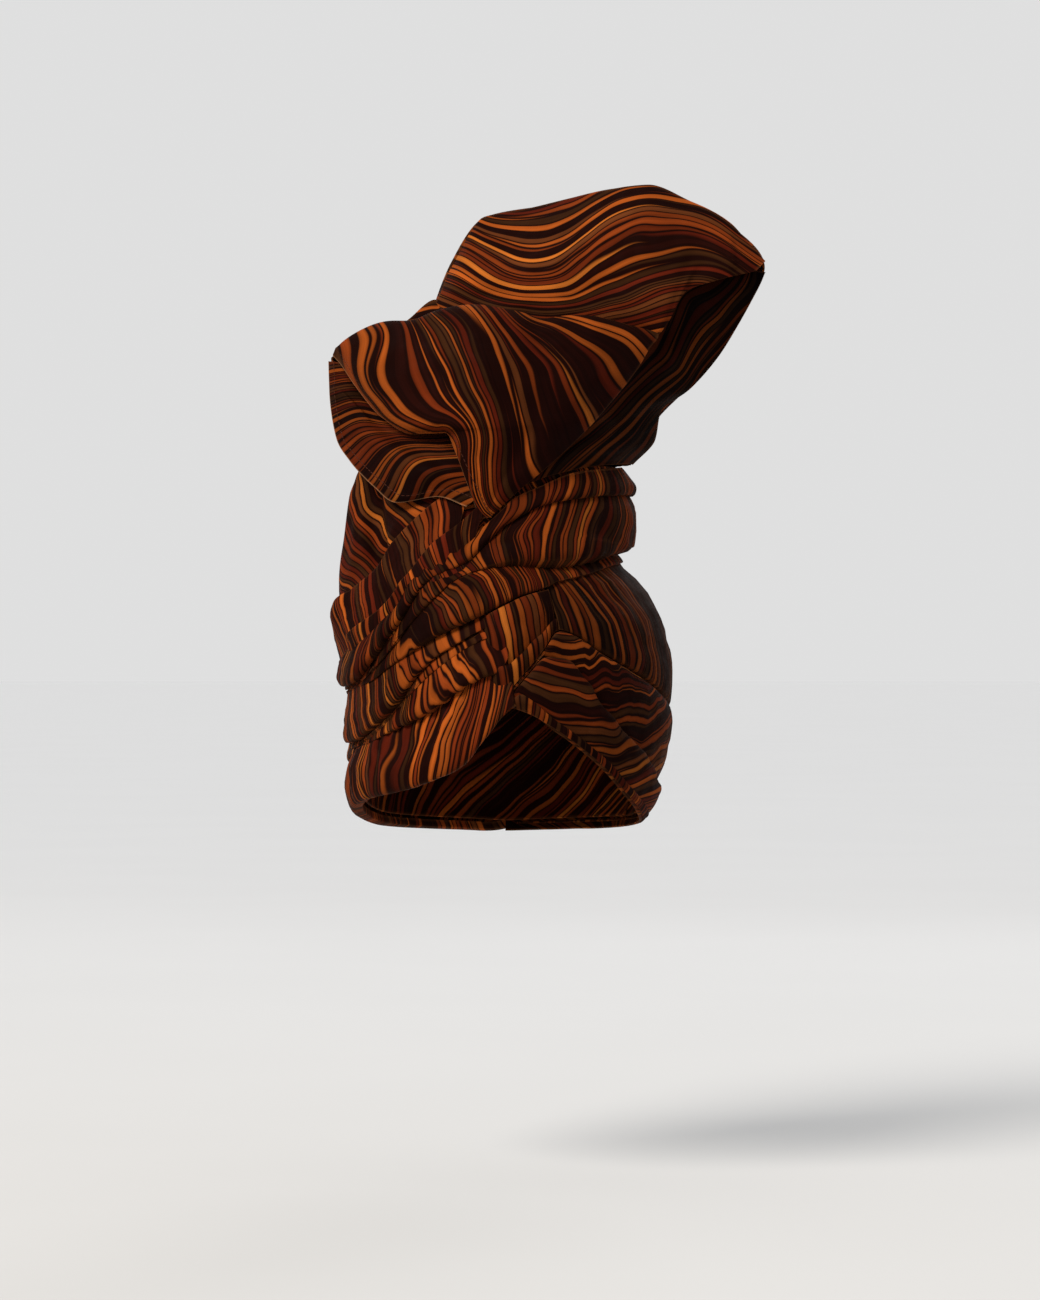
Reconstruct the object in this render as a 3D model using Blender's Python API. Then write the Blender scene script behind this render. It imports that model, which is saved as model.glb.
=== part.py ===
"""A tall turban headwrap of printed cotton: a crown over the head, pleated wraps that cross at the brow,
a long diagonal wrap that climbs and ties the neck, and a tower of loose folded cloth above the tie.

Metres, +Z up, the wearer faces -Y, and +X is the right side seen from the front. The origin is the top of
the wearer's head, where the bunched cloth of the neck sits on it. An angle runs round the head in degrees:
0 is the brow, 90 is +X, and -90 is -X.
"""

import bpy
import numpy as np

# Driving dimensions, in metres.
HEAD_HALF_WIDTH = 0.077
HEAD_HALF_LENGTH = 0.096
RIM_DROP = 0.140  # from the head's top down to the rim at the nape
TIE_RISE = 0.070  # from the head's top up to the top of the tie
TOWER_HEIGHT = 0.162  # from the top of the tie to the peak
TOWER_WIDTH = 0.249
TOWER_DEPTH = 0.120
WALL = 0.002  # layered cotton cloth
LAYER_GAP = 0.0008  # between a wrap and what it lies on
SEAM_GAP = 0.0006  # between two edges that meet
BUNDLE_GAP = 0.0012  # between the crown's inside and the bundle's lobes
BACK_GAP = 0.0001  # between the tower's back and the crown and sheets that it meets at a slant
WRAP_PUFF = 0.010  # how far a full pleat stands off the crown
FOLD_DEPTH = 0.006  # a full fold in the crown
RIM_INSET = 0.005  # the crown's rim ends this far above the wraps' lower edge
CROWN_TURN = -0.020  # height where the crown turns in towards the neck
FLUTE_DEPTH = 0.008  # between the gathers of the neck
FLUTES = 10
BACK_FOLDS = 9
ARCH_FULLNESS = 0.8  # under 1 a sheet's arch is fuller than a sine
PLEAT_FULLNESS = 0.7  # the same for a wrap's pleat
KNOT_PUFF = 0.5  # a share of WRAP_PUFF
END_PUFF = 0.3  # share of a wrap's puff that is left where it is tucked in
DRAPE_SKEW = 0.7
BACK_LEAN = (0.0, 1.0, 0.2)  # the way the tower's back leaves its outline
NECK_FLARE = 0.5  # outwards for each unit up, where the tower's back leaves the neck
BUNDLE_CAP = 0.004

# Where the wraps end, in degrees round the head.
NAPE_SEAM = 179.6
LEFT_END = 2.2  # of the left wraps, at the brow
KNOT_START = 3.0  # of the knot and the right brow wrap
KNOT_END = 21.9
RIGHT_START = 22.5  # of the right crown wrap
TIE_END = 246.0

# Sampling of the faceted solids, and the steps over which the form's slope is taken.
TURN_PROBE = 1.0
RISE_PROBE = 0.002
ANGLE_STEP = 9.0
PLEAT_STEPS = 3
CROWN_LOW_STEPS = 6
CROWN_HIGH_STEPS = 11
DRAPE_STEPS = 16
FAN_STEPS = 18
PANEL_STEPS = 15
SHEET_STEPS = 6
BACK_STEPS = 44
BACK_RISE_STEPS = 8


def table(columns, *rows):
    """A table with named columns. Its first column holds the stations."""
    values = dict(zip(columns, np.array(rows, float).T))
    values["stations"] = values[columns[0]]
    return values


def along(rows, column, at):
    """A table's column at any station, on a smooth curve that doesn't overshoot its rows."""
    stations, values = rows["stations"], rows[column]
    run = np.diff(stations)
    slope = np.diff(values) / run
    tangent = np.zeros_like(values)
    tangent[0], tangent[-1] = slope[0], slope[-1]
    same_way = slope[:-1] * slope[1:] > 0
    mean = 2 * slope[:-1] * slope[1:] / np.where(same_way, slope[:-1] + slope[1:], 1)
    tangent[1:-1] = np.where(same_way, mean, 0)
    at = np.clip(np.asarray(at, float), stations[0], stations[-1])
    i = np.clip(np.searchsorted(stations, at, side="right") - 1, 0, len(run) - 1)
    t = (at - stations[i]) / run[i]
    rise = (3 - 2 * t) * t * t
    start = tangent[i] * run[i] * t * (1 - t) ** 2
    end = tangent[i + 1] * run[i] * t * t * (t - 1)
    return values[i] * (1 - rise) + values[i + 1] * rise + start + end


def height_of(level):
    """Height of a level: -1 is the nape's rim, 0 the head's top and 1 the top of the tie."""
    level = np.asarray(level, float)
    return level * np.where(level < 0, RIM_DROP, TIE_RISE)


# The form that the cloth is wound on, by level. Left and right are shares of HEAD_HALF_WIDTH, front and
# back of HEAD_HALF_LENGTH. It leans left above the head and narrows to the neck that the tie holds.
FORM = table(
    ("level", "left", "right", "front", "back"),
    (-1.00, -0.91, 0.91, -0.88, 0.92),
    (-0.86, -1.01, 1.01, -0.96, 1.02),
    (-0.68, -1.08, 1.08, -1.01, 1.07),
    (-0.46, -1.10, 1.10, -1.02, 1.10),
    (-0.29, -1.16, 1.09, -0.99, 1.09),
    (-0.14, -1.21, 1.05, -0.94, 1.04),
    (-0.04, -1.20, 0.98, -0.89, 0.98),
    (0.07, -1.18, 0.89, -0.84, 0.90),
    (0.20, -1.17, 0.80, -0.78, 0.81),
    (0.36, -1.15, 0.77, -0.71, 0.72),
    (0.64, -1.11, 0.85, -0.65, 0.64),
    (1.00, -1.02, 0.80, -0.60, 0.60),
)

# Soft folds of the crown's cloth between two places, each an angle and a level. A negative depth is a
# hollow. Half widths are shares of HEAD_HALF_WIDTH and depths shares of FOLD_DEPTH.
CROWN_FOLDS = (
    # angle, level, to angle, to level, half width, depth
    (-66, 0.90, -50, 0.30, 0.12, -1.2),
    (-50, 0.30, -62, 0.02, 0.12, -0.7),
    (-25, 0.65, -75, -0.10, 0.10, 0.5),
    (-14, 0.36, -31, 0.03, 0.10, 0.5),
    (-84, 0.90, -78, 0.10, 0.12, 0.4),
    (-108, 0.85, -104, -0.25, 0.12, -0.6),
    (-136, 0.85, -142, -0.20, 0.14, 0.7),
    (-160, 0.85, -172, -0.25, 0.12, -0.6),
)

# The two wraps at the brow, the left middle wrap and the diagonal wrap. Edges and folds are levels.
LEFT_BROW = table(
    ("angle", "bottom", "top", "puff"),
    (-178, -0.99, -0.75, 0.5),
    (-120, -0.95, -0.73, 0.7),
    (-90, -0.89, -0.69, 0.8),
    (-63, -0.83, -0.63, 0.8),
    (-39, -0.79, -0.55, 0.8),
    (-26, -0.75, -0.49, 0.7),
    (-15, -0.70, -0.41, 0.6),
    (-6, -0.58, -0.36, 0.5),
    (2, -0.47, -0.34, 0.3),
)
RIGHT_BROW = table(
    ("angle", "bottom", "fold", "top", "puff"),
    (3, -0.47, -0.42, -0.40, 0.3),
    (10, -0.50, -0.34, -0.32, 0.5),
    (16, -0.54, -0.28, -0.25, 0.6),
    (22, -0.58, -0.29, -0.18, 0.7),
    (37, -0.69, -0.48, -0.27, 0.7),
    (56, -0.82, -0.65, -0.36, 0.7),
    (80, -0.91, -0.77, -0.45, 0.7),
    (120, -0.96, -0.83, -0.54, 0.6),
    (178, -0.99, -0.86, -0.58, 0.5),
)
LEFT_MIDDLE = table(
    ("angle", "fold", "puff"),
    (-178, -0.61, 0.4),
    (-90, -0.56, 0.45),
    (-52, -0.51, 0.6),
    (-42, -0.46, 0.8),
    (-31, -0.38, 0.8),
    (-20, -0.31, 0.7),
    (-7, -0.23, 0.6),
    (2, -0.19, 0.4),
)
DIAGONAL = table(
    ("angle", "bottom", "low_fold", "high_fold", "top", "puff"),
    (-178, -0.47, -0.41, -0.36, -0.31, 0.3),
    (-90, -0.42, -0.38, -0.33, -0.29, 0.3),
    (-55, -0.37, -0.30, -0.25, -0.20, 0.5),
    (-37, -0.29, -0.20, -0.15, -0.09, 0.7),
    (-20, -0.20, -0.05, 0.05, 0.13, 0.9),
    (-5, -0.13, 0.07, 0.16, 0.26, 0.9),
    (5, -0.08, 0.12, 0.34, 0.49, 0.9),
    (11, -0.05, 0.13, 0.50, 0.64, 0.9),
    (23, -0.01, 0.12, 0.65, 0.76, 1.0),
    (40, 0.05, 0.14, 0.71, 0.87, 1.0),
    (65, 0.14, 0.23, 0.75, 0.95, 1.0),
    (90, 0.19, 0.29, 0.76, 0.98, 1.1),
    (150, 0.26, 0.37, 0.78, 0.98, 0.9),
    (205, 0.34, 0.43, 0.77, 0.94, 0.7),
    (228, 0.46, 0.53, 0.72, 0.84, 0.5),
    (246, 0.57, 0.61, 0.68, 0.73, 0.3),
)
# The right crown wrap hangs from the diagonal wrap's lower edge, and towards the back its top drops from
# there by a share of the way down to the right brow wrap.
RIGHT_CROWN = table(
    ("angle", "drop", "fold", "puff"),
    (22, 0.00, 0.45, 0.6),
    (60, 0.00, 0.40, 0.7),
    (110, 0.00, 0.40, 0.7),
    (140, 0.15, 0.42, 0.7),
    (160, 0.40, 0.45, 0.6),
    (178, 0.66, 0.50, 0.5),
)

# The outline of the tower seen from the front, from the left end of the tie over the peak to its right
# end. Across is a share of TOWER_WIDTH, up of TOWER_HEIGHT above the tie and deep of TOWER_DEPTH.
OUTLINE = table(
    ("station", "across", "up", "deep", "fullness"),
    (0.00, -0.320, 0.04, 0.00, 0.30),
    (0.05, -0.378, 0.10, -0.02, 0.30),
    (0.10, -0.396, 0.24, -0.06, 0.30),
    (0.15, -0.402, 0.38, -0.08, 0.32),
    (0.18, -0.365, 0.40, -0.06, 0.34),
    (0.25, -0.229, 0.51, -0.02, 0.36),
    (0.29, -0.167, 0.55, 0.02, 0.36),
    (0.31, -0.157, 0.60, 0.02, 0.36),
    (0.35, -0.126, 0.73, 0.02, 0.34),
    (0.41, -0.048, 0.89, 0.02, 0.34),
    (0.50, 0.124, 0.94, 0.02, 0.34),
    (0.58, 0.309, 1.00, 0.00, 0.28),
    (0.66, 0.474, 0.90, -0.04, 0.18),
    (0.69, 0.514, 0.86, -0.06, 0.15),
    (0.76, 0.598, 0.70, -0.10, 0.12),
    (0.81, 0.538, 0.51, -0.06, 0.16),
    (0.85, 0.492, 0.40, -0.04, 0.20),
    (0.89, 0.424, 0.28, -0.02, 0.24),
    (0.93, 0.357, 0.20, 0.00, 0.28),
    (0.96, 0.343, 0.11, 0.02, 0.30),
    (1.00, 0.297, 0.05, 0.02, 0.30),
)

# The loose sheets of the tower. Each runs across from one edge to the other at every station, and stands
# out to the front by its belly and up by its rise between them.
SHEET_COLUMNS = (
    "station",
    "from_across",
    "from_deep",
    "from_up",
    "to_across",
    "to_deep",
    "to_up",
    "belly",
    "rise",
)
CENTRE_DRAPE = table(
    SHEET_COLUMNS,
    (0.00, -0.053, -0.56, -0.193, -0.030, -0.56, -0.186, 0.01, 0.00),
    (0.12, -0.080, -0.57, -0.073, 0.025, -0.56, -0.105, 0.05, 0.00),
    (0.24, -0.108, -0.57, 0.039, 0.108, -0.54, 0.001, 0.11, 0.00),
    (0.36, -0.133, -0.54, 0.106, 0.183, -0.49, 0.113, 0.19, 0.00),
    (0.48, -0.206, -0.46, 0.106, 0.245, -0.43, 0.222, 0.27, 0.01),
    (0.60, -0.275, -0.37, 0.166, 0.300, -0.38, 0.331, 0.34, 0.02),
    (0.72, -0.334, -0.28, 0.272, 0.327, -0.35, 0.402, 0.37, 0.06),
    (0.84, -0.364, -0.20, 0.356, 0.346, -0.32, 0.441, 0.36, 0.10),
    (0.93, -0.355, -0.14, 0.377, 0.348, -0.31, 0.455, 0.28, 0.12),
    (1.00, -0.332, -0.08, 0.370, 0.343, -0.305, 0.452, 0.17, 0.10),
)
TOP_FAN = table(
    SHEET_COLUMNS,
    (0.00, -0.158, -0.04, 0.578, -0.134, 0.02, 0.676, 0.01, 0.00),
    (0.10, -0.125, -0.14, 0.520, -0.048, 0.02, 0.884, 0.08, 0.00),
    (0.22, -0.050, -0.20, 0.480, 0.040, 0.027, 0.910, 0.12, 0.00),
    (0.34, 0.030, -0.27, 0.470, 0.140, 0.01, 0.945, 0.12, 0.00),
    (0.46, 0.130, -0.30, 0.460, 0.240, 0.00, 0.980, 0.13, 0.00),
    (0.58, 0.235, -0.29, 0.455, 0.330, -0.01, 0.995, 0.13, 0.00),
    (0.70, 0.338, -0.275, 0.450, 0.424, -0.04, 0.935, 0.12, 0.00),
    (0.80, 0.371, -0.275, 0.500, 0.474, -0.06, 0.898, 0.08, 0.00),
    (0.87, 0.410, -0.24, 0.605, 0.515, -0.08, 0.855, 0.05, 0.00),
    (0.93, 0.480, -0.225, 0.645, 0.550, -0.10, 0.795, 0.03, 0.00),
    (1.00, 0.570, -0.185, 0.680, 0.593, -0.125, 0.718, 0.01, 0.00),
)
RIGHT_PANEL = table(
    SHEET_COLUMNS,
    (0.00, 0.007, -0.545, -0.126, 0.293, 0.00, 0.010, 0.19, 0.03),
    (0.12, 0.080, -0.535, -0.038, 0.344, 0.00, 0.096, 0.14, 0.02),
    (0.26, 0.153, -0.48, 0.068, 0.357, 0.00, 0.194, 0.06, 0.00),
    (0.44, 0.229, -0.415, 0.184, 0.424, -0.02, 0.276, 0.00, 0.00),
    (0.60, 0.293, -0.355, 0.307, 0.488, -0.04, 0.388, -0.03, 0.00),
    (0.75, 0.344, -0.27, 0.430, 0.534, -0.07, 0.502, -0.02, 0.00),
    (0.87, 0.389, -0.215, 0.553, 0.568, -0.10, 0.597, 0.00, 0.00),
    (0.94, 0.447, -0.185, 0.615, 0.584, -0.112, 0.645, 0.00, 0.00),
    (1.00, 0.545, -0.145, 0.640, 0.593, -0.120, 0.680, 0.00, 0.00),
)
LEFT_RUFFLE = table(
    SHEET_COLUMNS,
    (0.00, -0.400, -0.076, 0.370, -0.374, -0.15, 0.362, 0.01, 0.00),
    (0.14, -0.396, -0.12, 0.237, -0.314, -0.22, 0.225, 0.06, 0.00),
    (0.28, -0.380, -0.16, 0.096, -0.259, -0.28, 0.150, 0.10, 0.00),
    (0.42, -0.348, -0.26, 0.015, -0.195, -0.36, 0.100, 0.11, 0.00),
    (0.56, -0.295, -0.40, -0.073, -0.137, -0.45, 0.090, 0.10, 0.00),
    (0.70, -0.240, -0.49, -0.133, -0.115, -0.51, 0.032, 0.07, 0.00),
    (0.84, -0.153, -0.545, -0.115, -0.096, -0.55, -0.045, 0.02, 0.00),
    (1.00, -0.085, -0.565, -0.150, -0.076, -0.565, -0.115, 0.01, 0.00),
)

# Long soft folds of the centre drape, from its tip to its top edge. A place is a share of the way across,
# a spread is a share of the width, and a depth is a share of FOLD_DEPTH, negative for a hollow.
DRAPE_FOLDS = (
    # place, spread, depth
    (0.24, 0.06, -0.8),
    (0.42, 0.09, 0.4),
    (0.63, 0.07, -0.7),
    (0.83, 0.07, 0.3),
)

# The bunched cloth inside the neck, from the flat that sits on the head's top to its rounded top. Heights
# are shares of TIE_RISE and insets from the crown's inside are shares of HEAD_HALF_WIDTH.
BUNDLE = table(
    ("height", "inset"),
    (0.00, 0.42),
    (0.06, 0.24),
    (0.22, 0.06),
    (0.42, 0.00),
    (0.70, 0.00),
    (0.94, 0.06),
    (1.20, 0.22),
    (1.38, 0.50),
)


def tower_point(across, deep, up):
    """A point of the tower from its shares."""
    place = (across * TOWER_WIDTH, deep * TOWER_DEPTH, up * TOWER_HEIGHT + TIE_RISE)
    return np.stack(np.broadcast_arrays(*place), axis=-1)


def form_point(angle, height):
    """The form's surface at an angle and a height."""
    level = height / np.where(height < 0, RIM_DROP, TIE_RISE)
    left = along(FORM, "left", level) * HEAD_HALF_WIDTH
    right = along(FORM, "right", level) * HEAD_HALF_WIDTH
    front = along(FORM, "front", level) * HEAD_HALF_LENGTH
    back = along(FORM, "back", level) * HEAD_HALF_LENGTH
    turn = np.radians(angle)
    x = (left + right) / 2 + (right - left) / 2 * np.sin(turn)
    y = (front + back) / 2 - (back - front) / 2 * np.cos(turn)
    return np.stack([x, y, np.broadcast_to(height, x.shape)], axis=-1)


def unit(vectors):
    return vectors / np.linalg.norm(vectors, axis=-1, keepdims=True)


def lifted(angle, height, lift):
    """A point that stands off the form by a lift along the form's normal."""
    round_head = form_point(angle + TURN_PROBE, height) - form_point(angle - TURN_PROBE, height)
    upwards = form_point(angle, height + RISE_PROBE) - form_point(angle, height - RISE_PROBE)
    normal = unit(np.cross(round_head, upwards))
    return form_point(angle, height) + normal * np.asarray(lift)[..., None]


def crown_relief(angle, height):
    """How far the crown's folds stand off the form."""
    relief = np.zeros(np.broadcast(angle, height).shape)
    for angle_1, level_1, angle_2, level_2, half_width, depth in CROWN_FOLDS:
        start = np.array([np.radians(angle_1) * HEAD_HALF_WIDTH, height_of(level_1)])
        run = np.array([np.radians(angle_2) * HEAD_HALF_WIDTH, height_of(level_2)]) - start
        turned = (np.asarray(angle) + 180) % 360 - 180
        here = np.stack(np.broadcast_arrays(np.radians(turned) * HEAD_HALF_WIDTH, height), axis=-1)
        share = np.clip((here - start) @ run / (run @ run), 0, 1)
        distance = np.linalg.norm(here - start - share[..., None] * run, axis=-1)
        spread = half_width * HEAD_HALF_WIDTH
        relief = relief + depth * FOLD_DEPTH * np.exp(-((distance / spread) ** 2))
    return relief


def rim_height(angle):
    """The wraps' lower edge at any angle."""
    turned = (np.asarray(angle, float) + 180) % 360 - 180
    left = along(LEFT_BROW, "bottom", turned)
    right = along(RIGHT_BROW, "bottom", turned)
    return height_of(np.where(turned < 0, left, right))


def skin_faces(rows, columns, ring):
    """Triangles of a grid of points, row by row, whose rows may close into a ring."""
    i, j = np.meshgrid(np.arange(rows if ring else rows - 1), np.arange(columns - 1), indexing="ij")
    a, b = i * columns + j, (i + 1) % rows * columns + j
    triangles = np.stack([a, b, b + 1, a, b + 1, a + 1], axis=-1)
    return triangles.reshape(-1, 3)


def strip_faces(first, second):
    """Triangles between two matching lines of point numbers."""
    a, b, c, d = first[:-1], first[1:], second[1:], second[:-1]
    return np.stack([a, b, c, a, c, d], axis=-1).reshape(-1, 3)


def add_shell(name, outer, inner, ring=False):
    """A closed wall between two grids of points. Rows run round and columns run up, seen from outside."""
    rows, columns = outer.shape[:2]
    points = np.concatenate([outer.reshape(-1, 3), inner.reshape(-1, 3)])
    skin = skin_faces(rows, columns, ring)
    number = np.arange(rows * columns).reshape(rows, columns)
    under = number + rows * columns
    if ring:
        number, under = (np.concatenate([n, n[:1]]) for n in (number, under))
    faces = [skin, skin[:, ::-1] + rows * columns]
    faces += [strip_faces(under[:, 0], number[:, 0]), strip_faces(number[:, -1], under[:, -1])]
    if not ring:
        faces += [strip_faces(number[0], under[0]), strip_faces(under[-1], number[-1])]
    return add_object(name, points, np.concatenate(faces))


def add_object(name, points, faces):
    """One named piece with its own material."""
    mesh = bpy.data.meshes.new(name)
    mesh.from_pydata(points.tolist(), [], faces.tolist())
    mesh.validate()
    mesh.shade_smooth()
    mesh.set_sharp_from_angle(angle=np.radians(SHARP_ANGLE))
    piece = bpy.data.objects.new(name, mesh)
    bpy.context.scene.collection.objects.link(piece)
    piece.data.materials.append(cloth(name))
    return piece


CLOTH_COLOURS = {
    "crown": (0.16, 0.05, 0.02, 1),
    "neck_bundle": (0.10, 0.03, 0.015, 1),
    "tower_back": (0.20, 0.06, 0.02, 1),
}
PRINT_COLOUR = (0.32, 0.10, 0.025, 1)
CLOTH_ROUGHNESS = 0.8
SHARP_ANGLE = 50


def cloth(name):
    """Printed cotton, in the mean colour of the print where the piece shows it."""
    material = bpy.data.materials.new(name)
    material.use_nodes = True
    surface = material.node_tree.nodes["Principled BSDF"]
    surface.inputs["Base Color"].default_value = CLOTH_COLOURS.get(name, PRINT_COLOUR)
    surface.inputs["Roughness"].default_value = CLOTH_ROUGHNESS
    surface.inputs["Metallic"].default_value = 0.0
    return material


def angles_between(start, end):
    """Both ends and every shared angle between them."""
    inner = np.arange(np.ceil(start / ANGLE_STEP), np.floor(end / ANGLE_STEP) + 1) * ANGLE_STEP
    inner = inner[(inner > start + 1) & (inner < end - 1)]
    return np.concatenate([[start], inner, [end]])


def add_crown():
    """The cloth over the head, open below for it and above for the neck."""
    angles = np.arange(-180, 180, ANGLE_STEP)[:, None]
    low = rim_height(angles) + RIM_INSET
    side = low + (CROWN_TURN - low) * np.linspace(0, 1, CROWN_LOW_STEPS + 1)[:-1]
    turn = CROWN_TURN + (TIE_RISE - CROWN_TURN) * np.linspace(0, 1, CROWN_HIGH_STEPS + 1)
    height = np.concatenate([side, np.broadcast_to(turn, (len(angles), len(turn)))], axis=1)
    relief = crown_relief(angles, height)
    add_shell("crown", lifted(angles, height, relief + WALL), lifted(angles, height, relief), ring=True)


def add_wrap(name, angles, edges, puff):
    """A wrap of one or more pleats. Edges are heights at the angles, from the lowest to the highest, and
    each pleat between two of them arches off the crown."""
    columns, arch = [], []
    for pleat, (low, high) in enumerate(zip(edges[:-1], edges[1:])):
        for share in np.linspace(0, 1, PLEAT_STEPS + 1)[pleat > 0 :]:
            columns.append(low + (high - low) * share)
            arch.append(np.sin(np.pi * share) ** PLEAT_FULLNESS)
    height = np.stack(columns, axis=1)
    end_taper = np.ones(len(angles))
    end_taper[[0, -1]] = END_PUFF
    stand_off = np.outer(puff * end_taper, arch) * WRAP_PUFF
    angle = np.broadcast_to(angles[:, None], height.shape)
    inner = crown_relief(angle, height) + WALL + LAYER_GAP + stand_off
    add_shell(name, lifted(angle, height, inner + WALL), lifted(angle, height, inner))


def edge(rows, column, angles, gap=0.0):
    return height_of(along(rows, column, angles)) + gap


def add_brow_wraps():
    """The lowest wraps, which meet in an inverted V over the brow and at the back."""
    half_gap = SEAM_GAP / 2
    left = angles_between(-NAPE_SEAM, LEFT_END)
    low_left, high_left = edge(LEFT_BROW, "bottom", left), edge(LEFT_BROW, "top", left, -half_gap)
    add_wrap("left_brow_wrap", left, [low_left, high_left], along(LEFT_BROW, "puff", left))
    right = angles_between(KNOT_START, NAPE_SEAM)
    levels = [edge(RIGHT_BROW, column, right) for column in ("bottom", "fold")]
    levels.append(edge(RIGHT_BROW, "top", right, -half_gap))
    add_wrap("right_brow_wrap", right, levels, along(RIGHT_BROW, "puff", right))


def add_middle_wraps():
    """The left wrap above the brow wrap, the knot where the wraps cross, and the right crown wrap."""
    half_gap = SEAM_GAP / 2
    left = angles_between(-NAPE_SEAM, LEFT_END)
    levels = [edge(LEFT_BROW, "top", left, half_gap), edge(LEFT_MIDDLE, "fold", left)]
    levels.append(edge(DIAGONAL, "bottom", left, -half_gap))
    add_wrap("left_middle_wrap", left, levels, along(LEFT_MIDDLE, "puff", left))
    knot = angles_between(KNOT_START, KNOT_END)
    low, high = edge(RIGHT_BROW, "top", knot, half_gap), edge(DIAGONAL, "bottom", knot, -half_gap)
    add_wrap("knot_fold", knot, [low, (low + high) / 2, high], KNOT_PUFF * np.ones(len(knot)))
    right = angles_between(RIGHT_START, NAPE_SEAM)
    low, high = edge(RIGHT_BROW, "top", right, half_gap), edge(DIAGONAL, "bottom", right, -half_gap)
    high = high + (low - high) * along(RIGHT_CROWN, "drop", right)
    fold = low + (high - low) * along(RIGHT_CROWN, "fold", right)
    add_wrap("right_crown_wrap", right, [low, fold, high], along(RIGHT_CROWN, "puff", right))


def add_diagonal_wrap():
    """The long wrap that climbs from the left brow across the front and ties the neck."""
    angles = angles_between(-NAPE_SEAM, TIE_END)
    levels = [edge(DIAGONAL, column, angles) for column in ("bottom", "low_fold", "high_fold", "top")]
    levels[0] += SEAM_GAP / 2
    add_wrap("diagonal_wrap", angles, levels, along(DIAGONAL, "puff", angles))


def grid_normals(points):
    """The outward normals of a grid whose rows run round and columns run up, seen from outside."""
    return unit(np.cross(np.gradient(points, axis=0), np.gradient(points, axis=1)))


def sheet_points(rows, along_steps, across_steps, skew=1.0):
    """The face of a loose sheet, by station and by share of the way across it. A skew under 1 moves the
    highest part of its arch towards the edge that it starts from."""
    station = np.linspace(0, 1, along_steps + 1)[:, None]
    share = np.linspace(0, 1, across_steps + 1)[None, :]
    across, deep, up = (
        along(rows, "from_" + way, station) * (1 - share) + along(rows, "to_" + way, station) * share
        for way in ("across", "deep", "up")
    )
    arch = np.sin(np.pi * share**skew) ** ARCH_FULLNESS
    deep = deep - along(rows, "belly", station) * arch
    return tower_point(across, deep, up + along(rows, "rise", station) * arch)


def drape_folds(share):
    """How far the long folds stand off the centre drape at a share of the way across."""
    place, spread, depth = np.array(DRAPE_FOLDS).T
    return (depth * FOLD_DEPTH * np.exp(-(((share[:, None] - place) / spread) ** 2))).sum(axis=1)


def add_sheet(name, face):
    add_shell(name, face, face - grid_normals(face) * WALL)


def add_tower_sheets():
    """The drape over the front, the fan behind it, the panel at its right and the ruffle at its left."""
    drape = sheet_points(CENTRE_DRAPE, DRAPE_STEPS, DRAPE_STEPS, DRAPE_SKEW).swapaxes(0, 1)
    share = np.linspace(0, 1, DRAPE_STEPS + 1)
    relief = np.outer(drape_folds(share) * np.sin(np.pi * share), share)
    add_sheet("centre_drape", drape + grid_normals(drape) * relief[..., None])
    add_sheet("top_fan", sheet_points(TOP_FAN, FAN_STEPS, SHEET_STEPS))
    add_sheet("right_panel", sheet_points(RIGHT_PANEL, PANEL_STEPS, SHEET_STEPS).swapaxes(0, 1))
    add_sheet("left_ruffle", sheet_points(LEFT_RUFFLE, PANEL_STEPS, SHEET_STEPS))


def back_points(stations, shares):
    """The back of the tower, from its outline down to the neck, drawn in to folds at the neck."""
    deep = along(OUTLINE, "deep", stations)
    rim = tower_point(along(OUTLINE, "across", stations), deep, along(OUTLINE, "up", stations))
    rim[:, 1] += WALL + BACK_GAP
    angle = -90 - 180 * stations
    relief = crown_relief(angle, TIE_RISE)
    neck = lifted(angle, np.full(len(stations), TIE_RISE + WALL + SEAM_GAP), relief + WALL)
    reach = np.linalg.norm(neck - rim, axis=1)[:, None] * along(OUTLINE, "fullness", stations)[:, None]
    behind = rim + reach * unit(np.array(BACK_LEAN))
    outwards = unit(neck * (1, 1, 0))
    above = neck + reach * unit(outwards * NECK_FLARE + (0, 0, 1))
    t = shares[None, :, None]
    corners = [rim[:, None], behind[:, None], above[:, None], neck[:, None]]
    weights = [(1 - t) ** 3, 3 * t * (1 - t) ** 2, 3 * t * t * (1 - t), t**3]
    face = sum(corner * weight for corner, weight in zip(corners, weights))
    fold = np.cos(2 * np.pi * BACK_FOLDS * stations)[:, None] * np.sin(np.pi * shares) * shares
    return face + grid_normals(face[:, ::-1])[:, ::-1] * (fold * FLUTE_DEPTH)[..., None]


def add_tower_back():
    face = back_points(np.linspace(1, 0, BACK_STEPS + 1), np.linspace(1, 0, BACK_RISE_STEPS + 1))
    add_sheet("tower_back", face)


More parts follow.
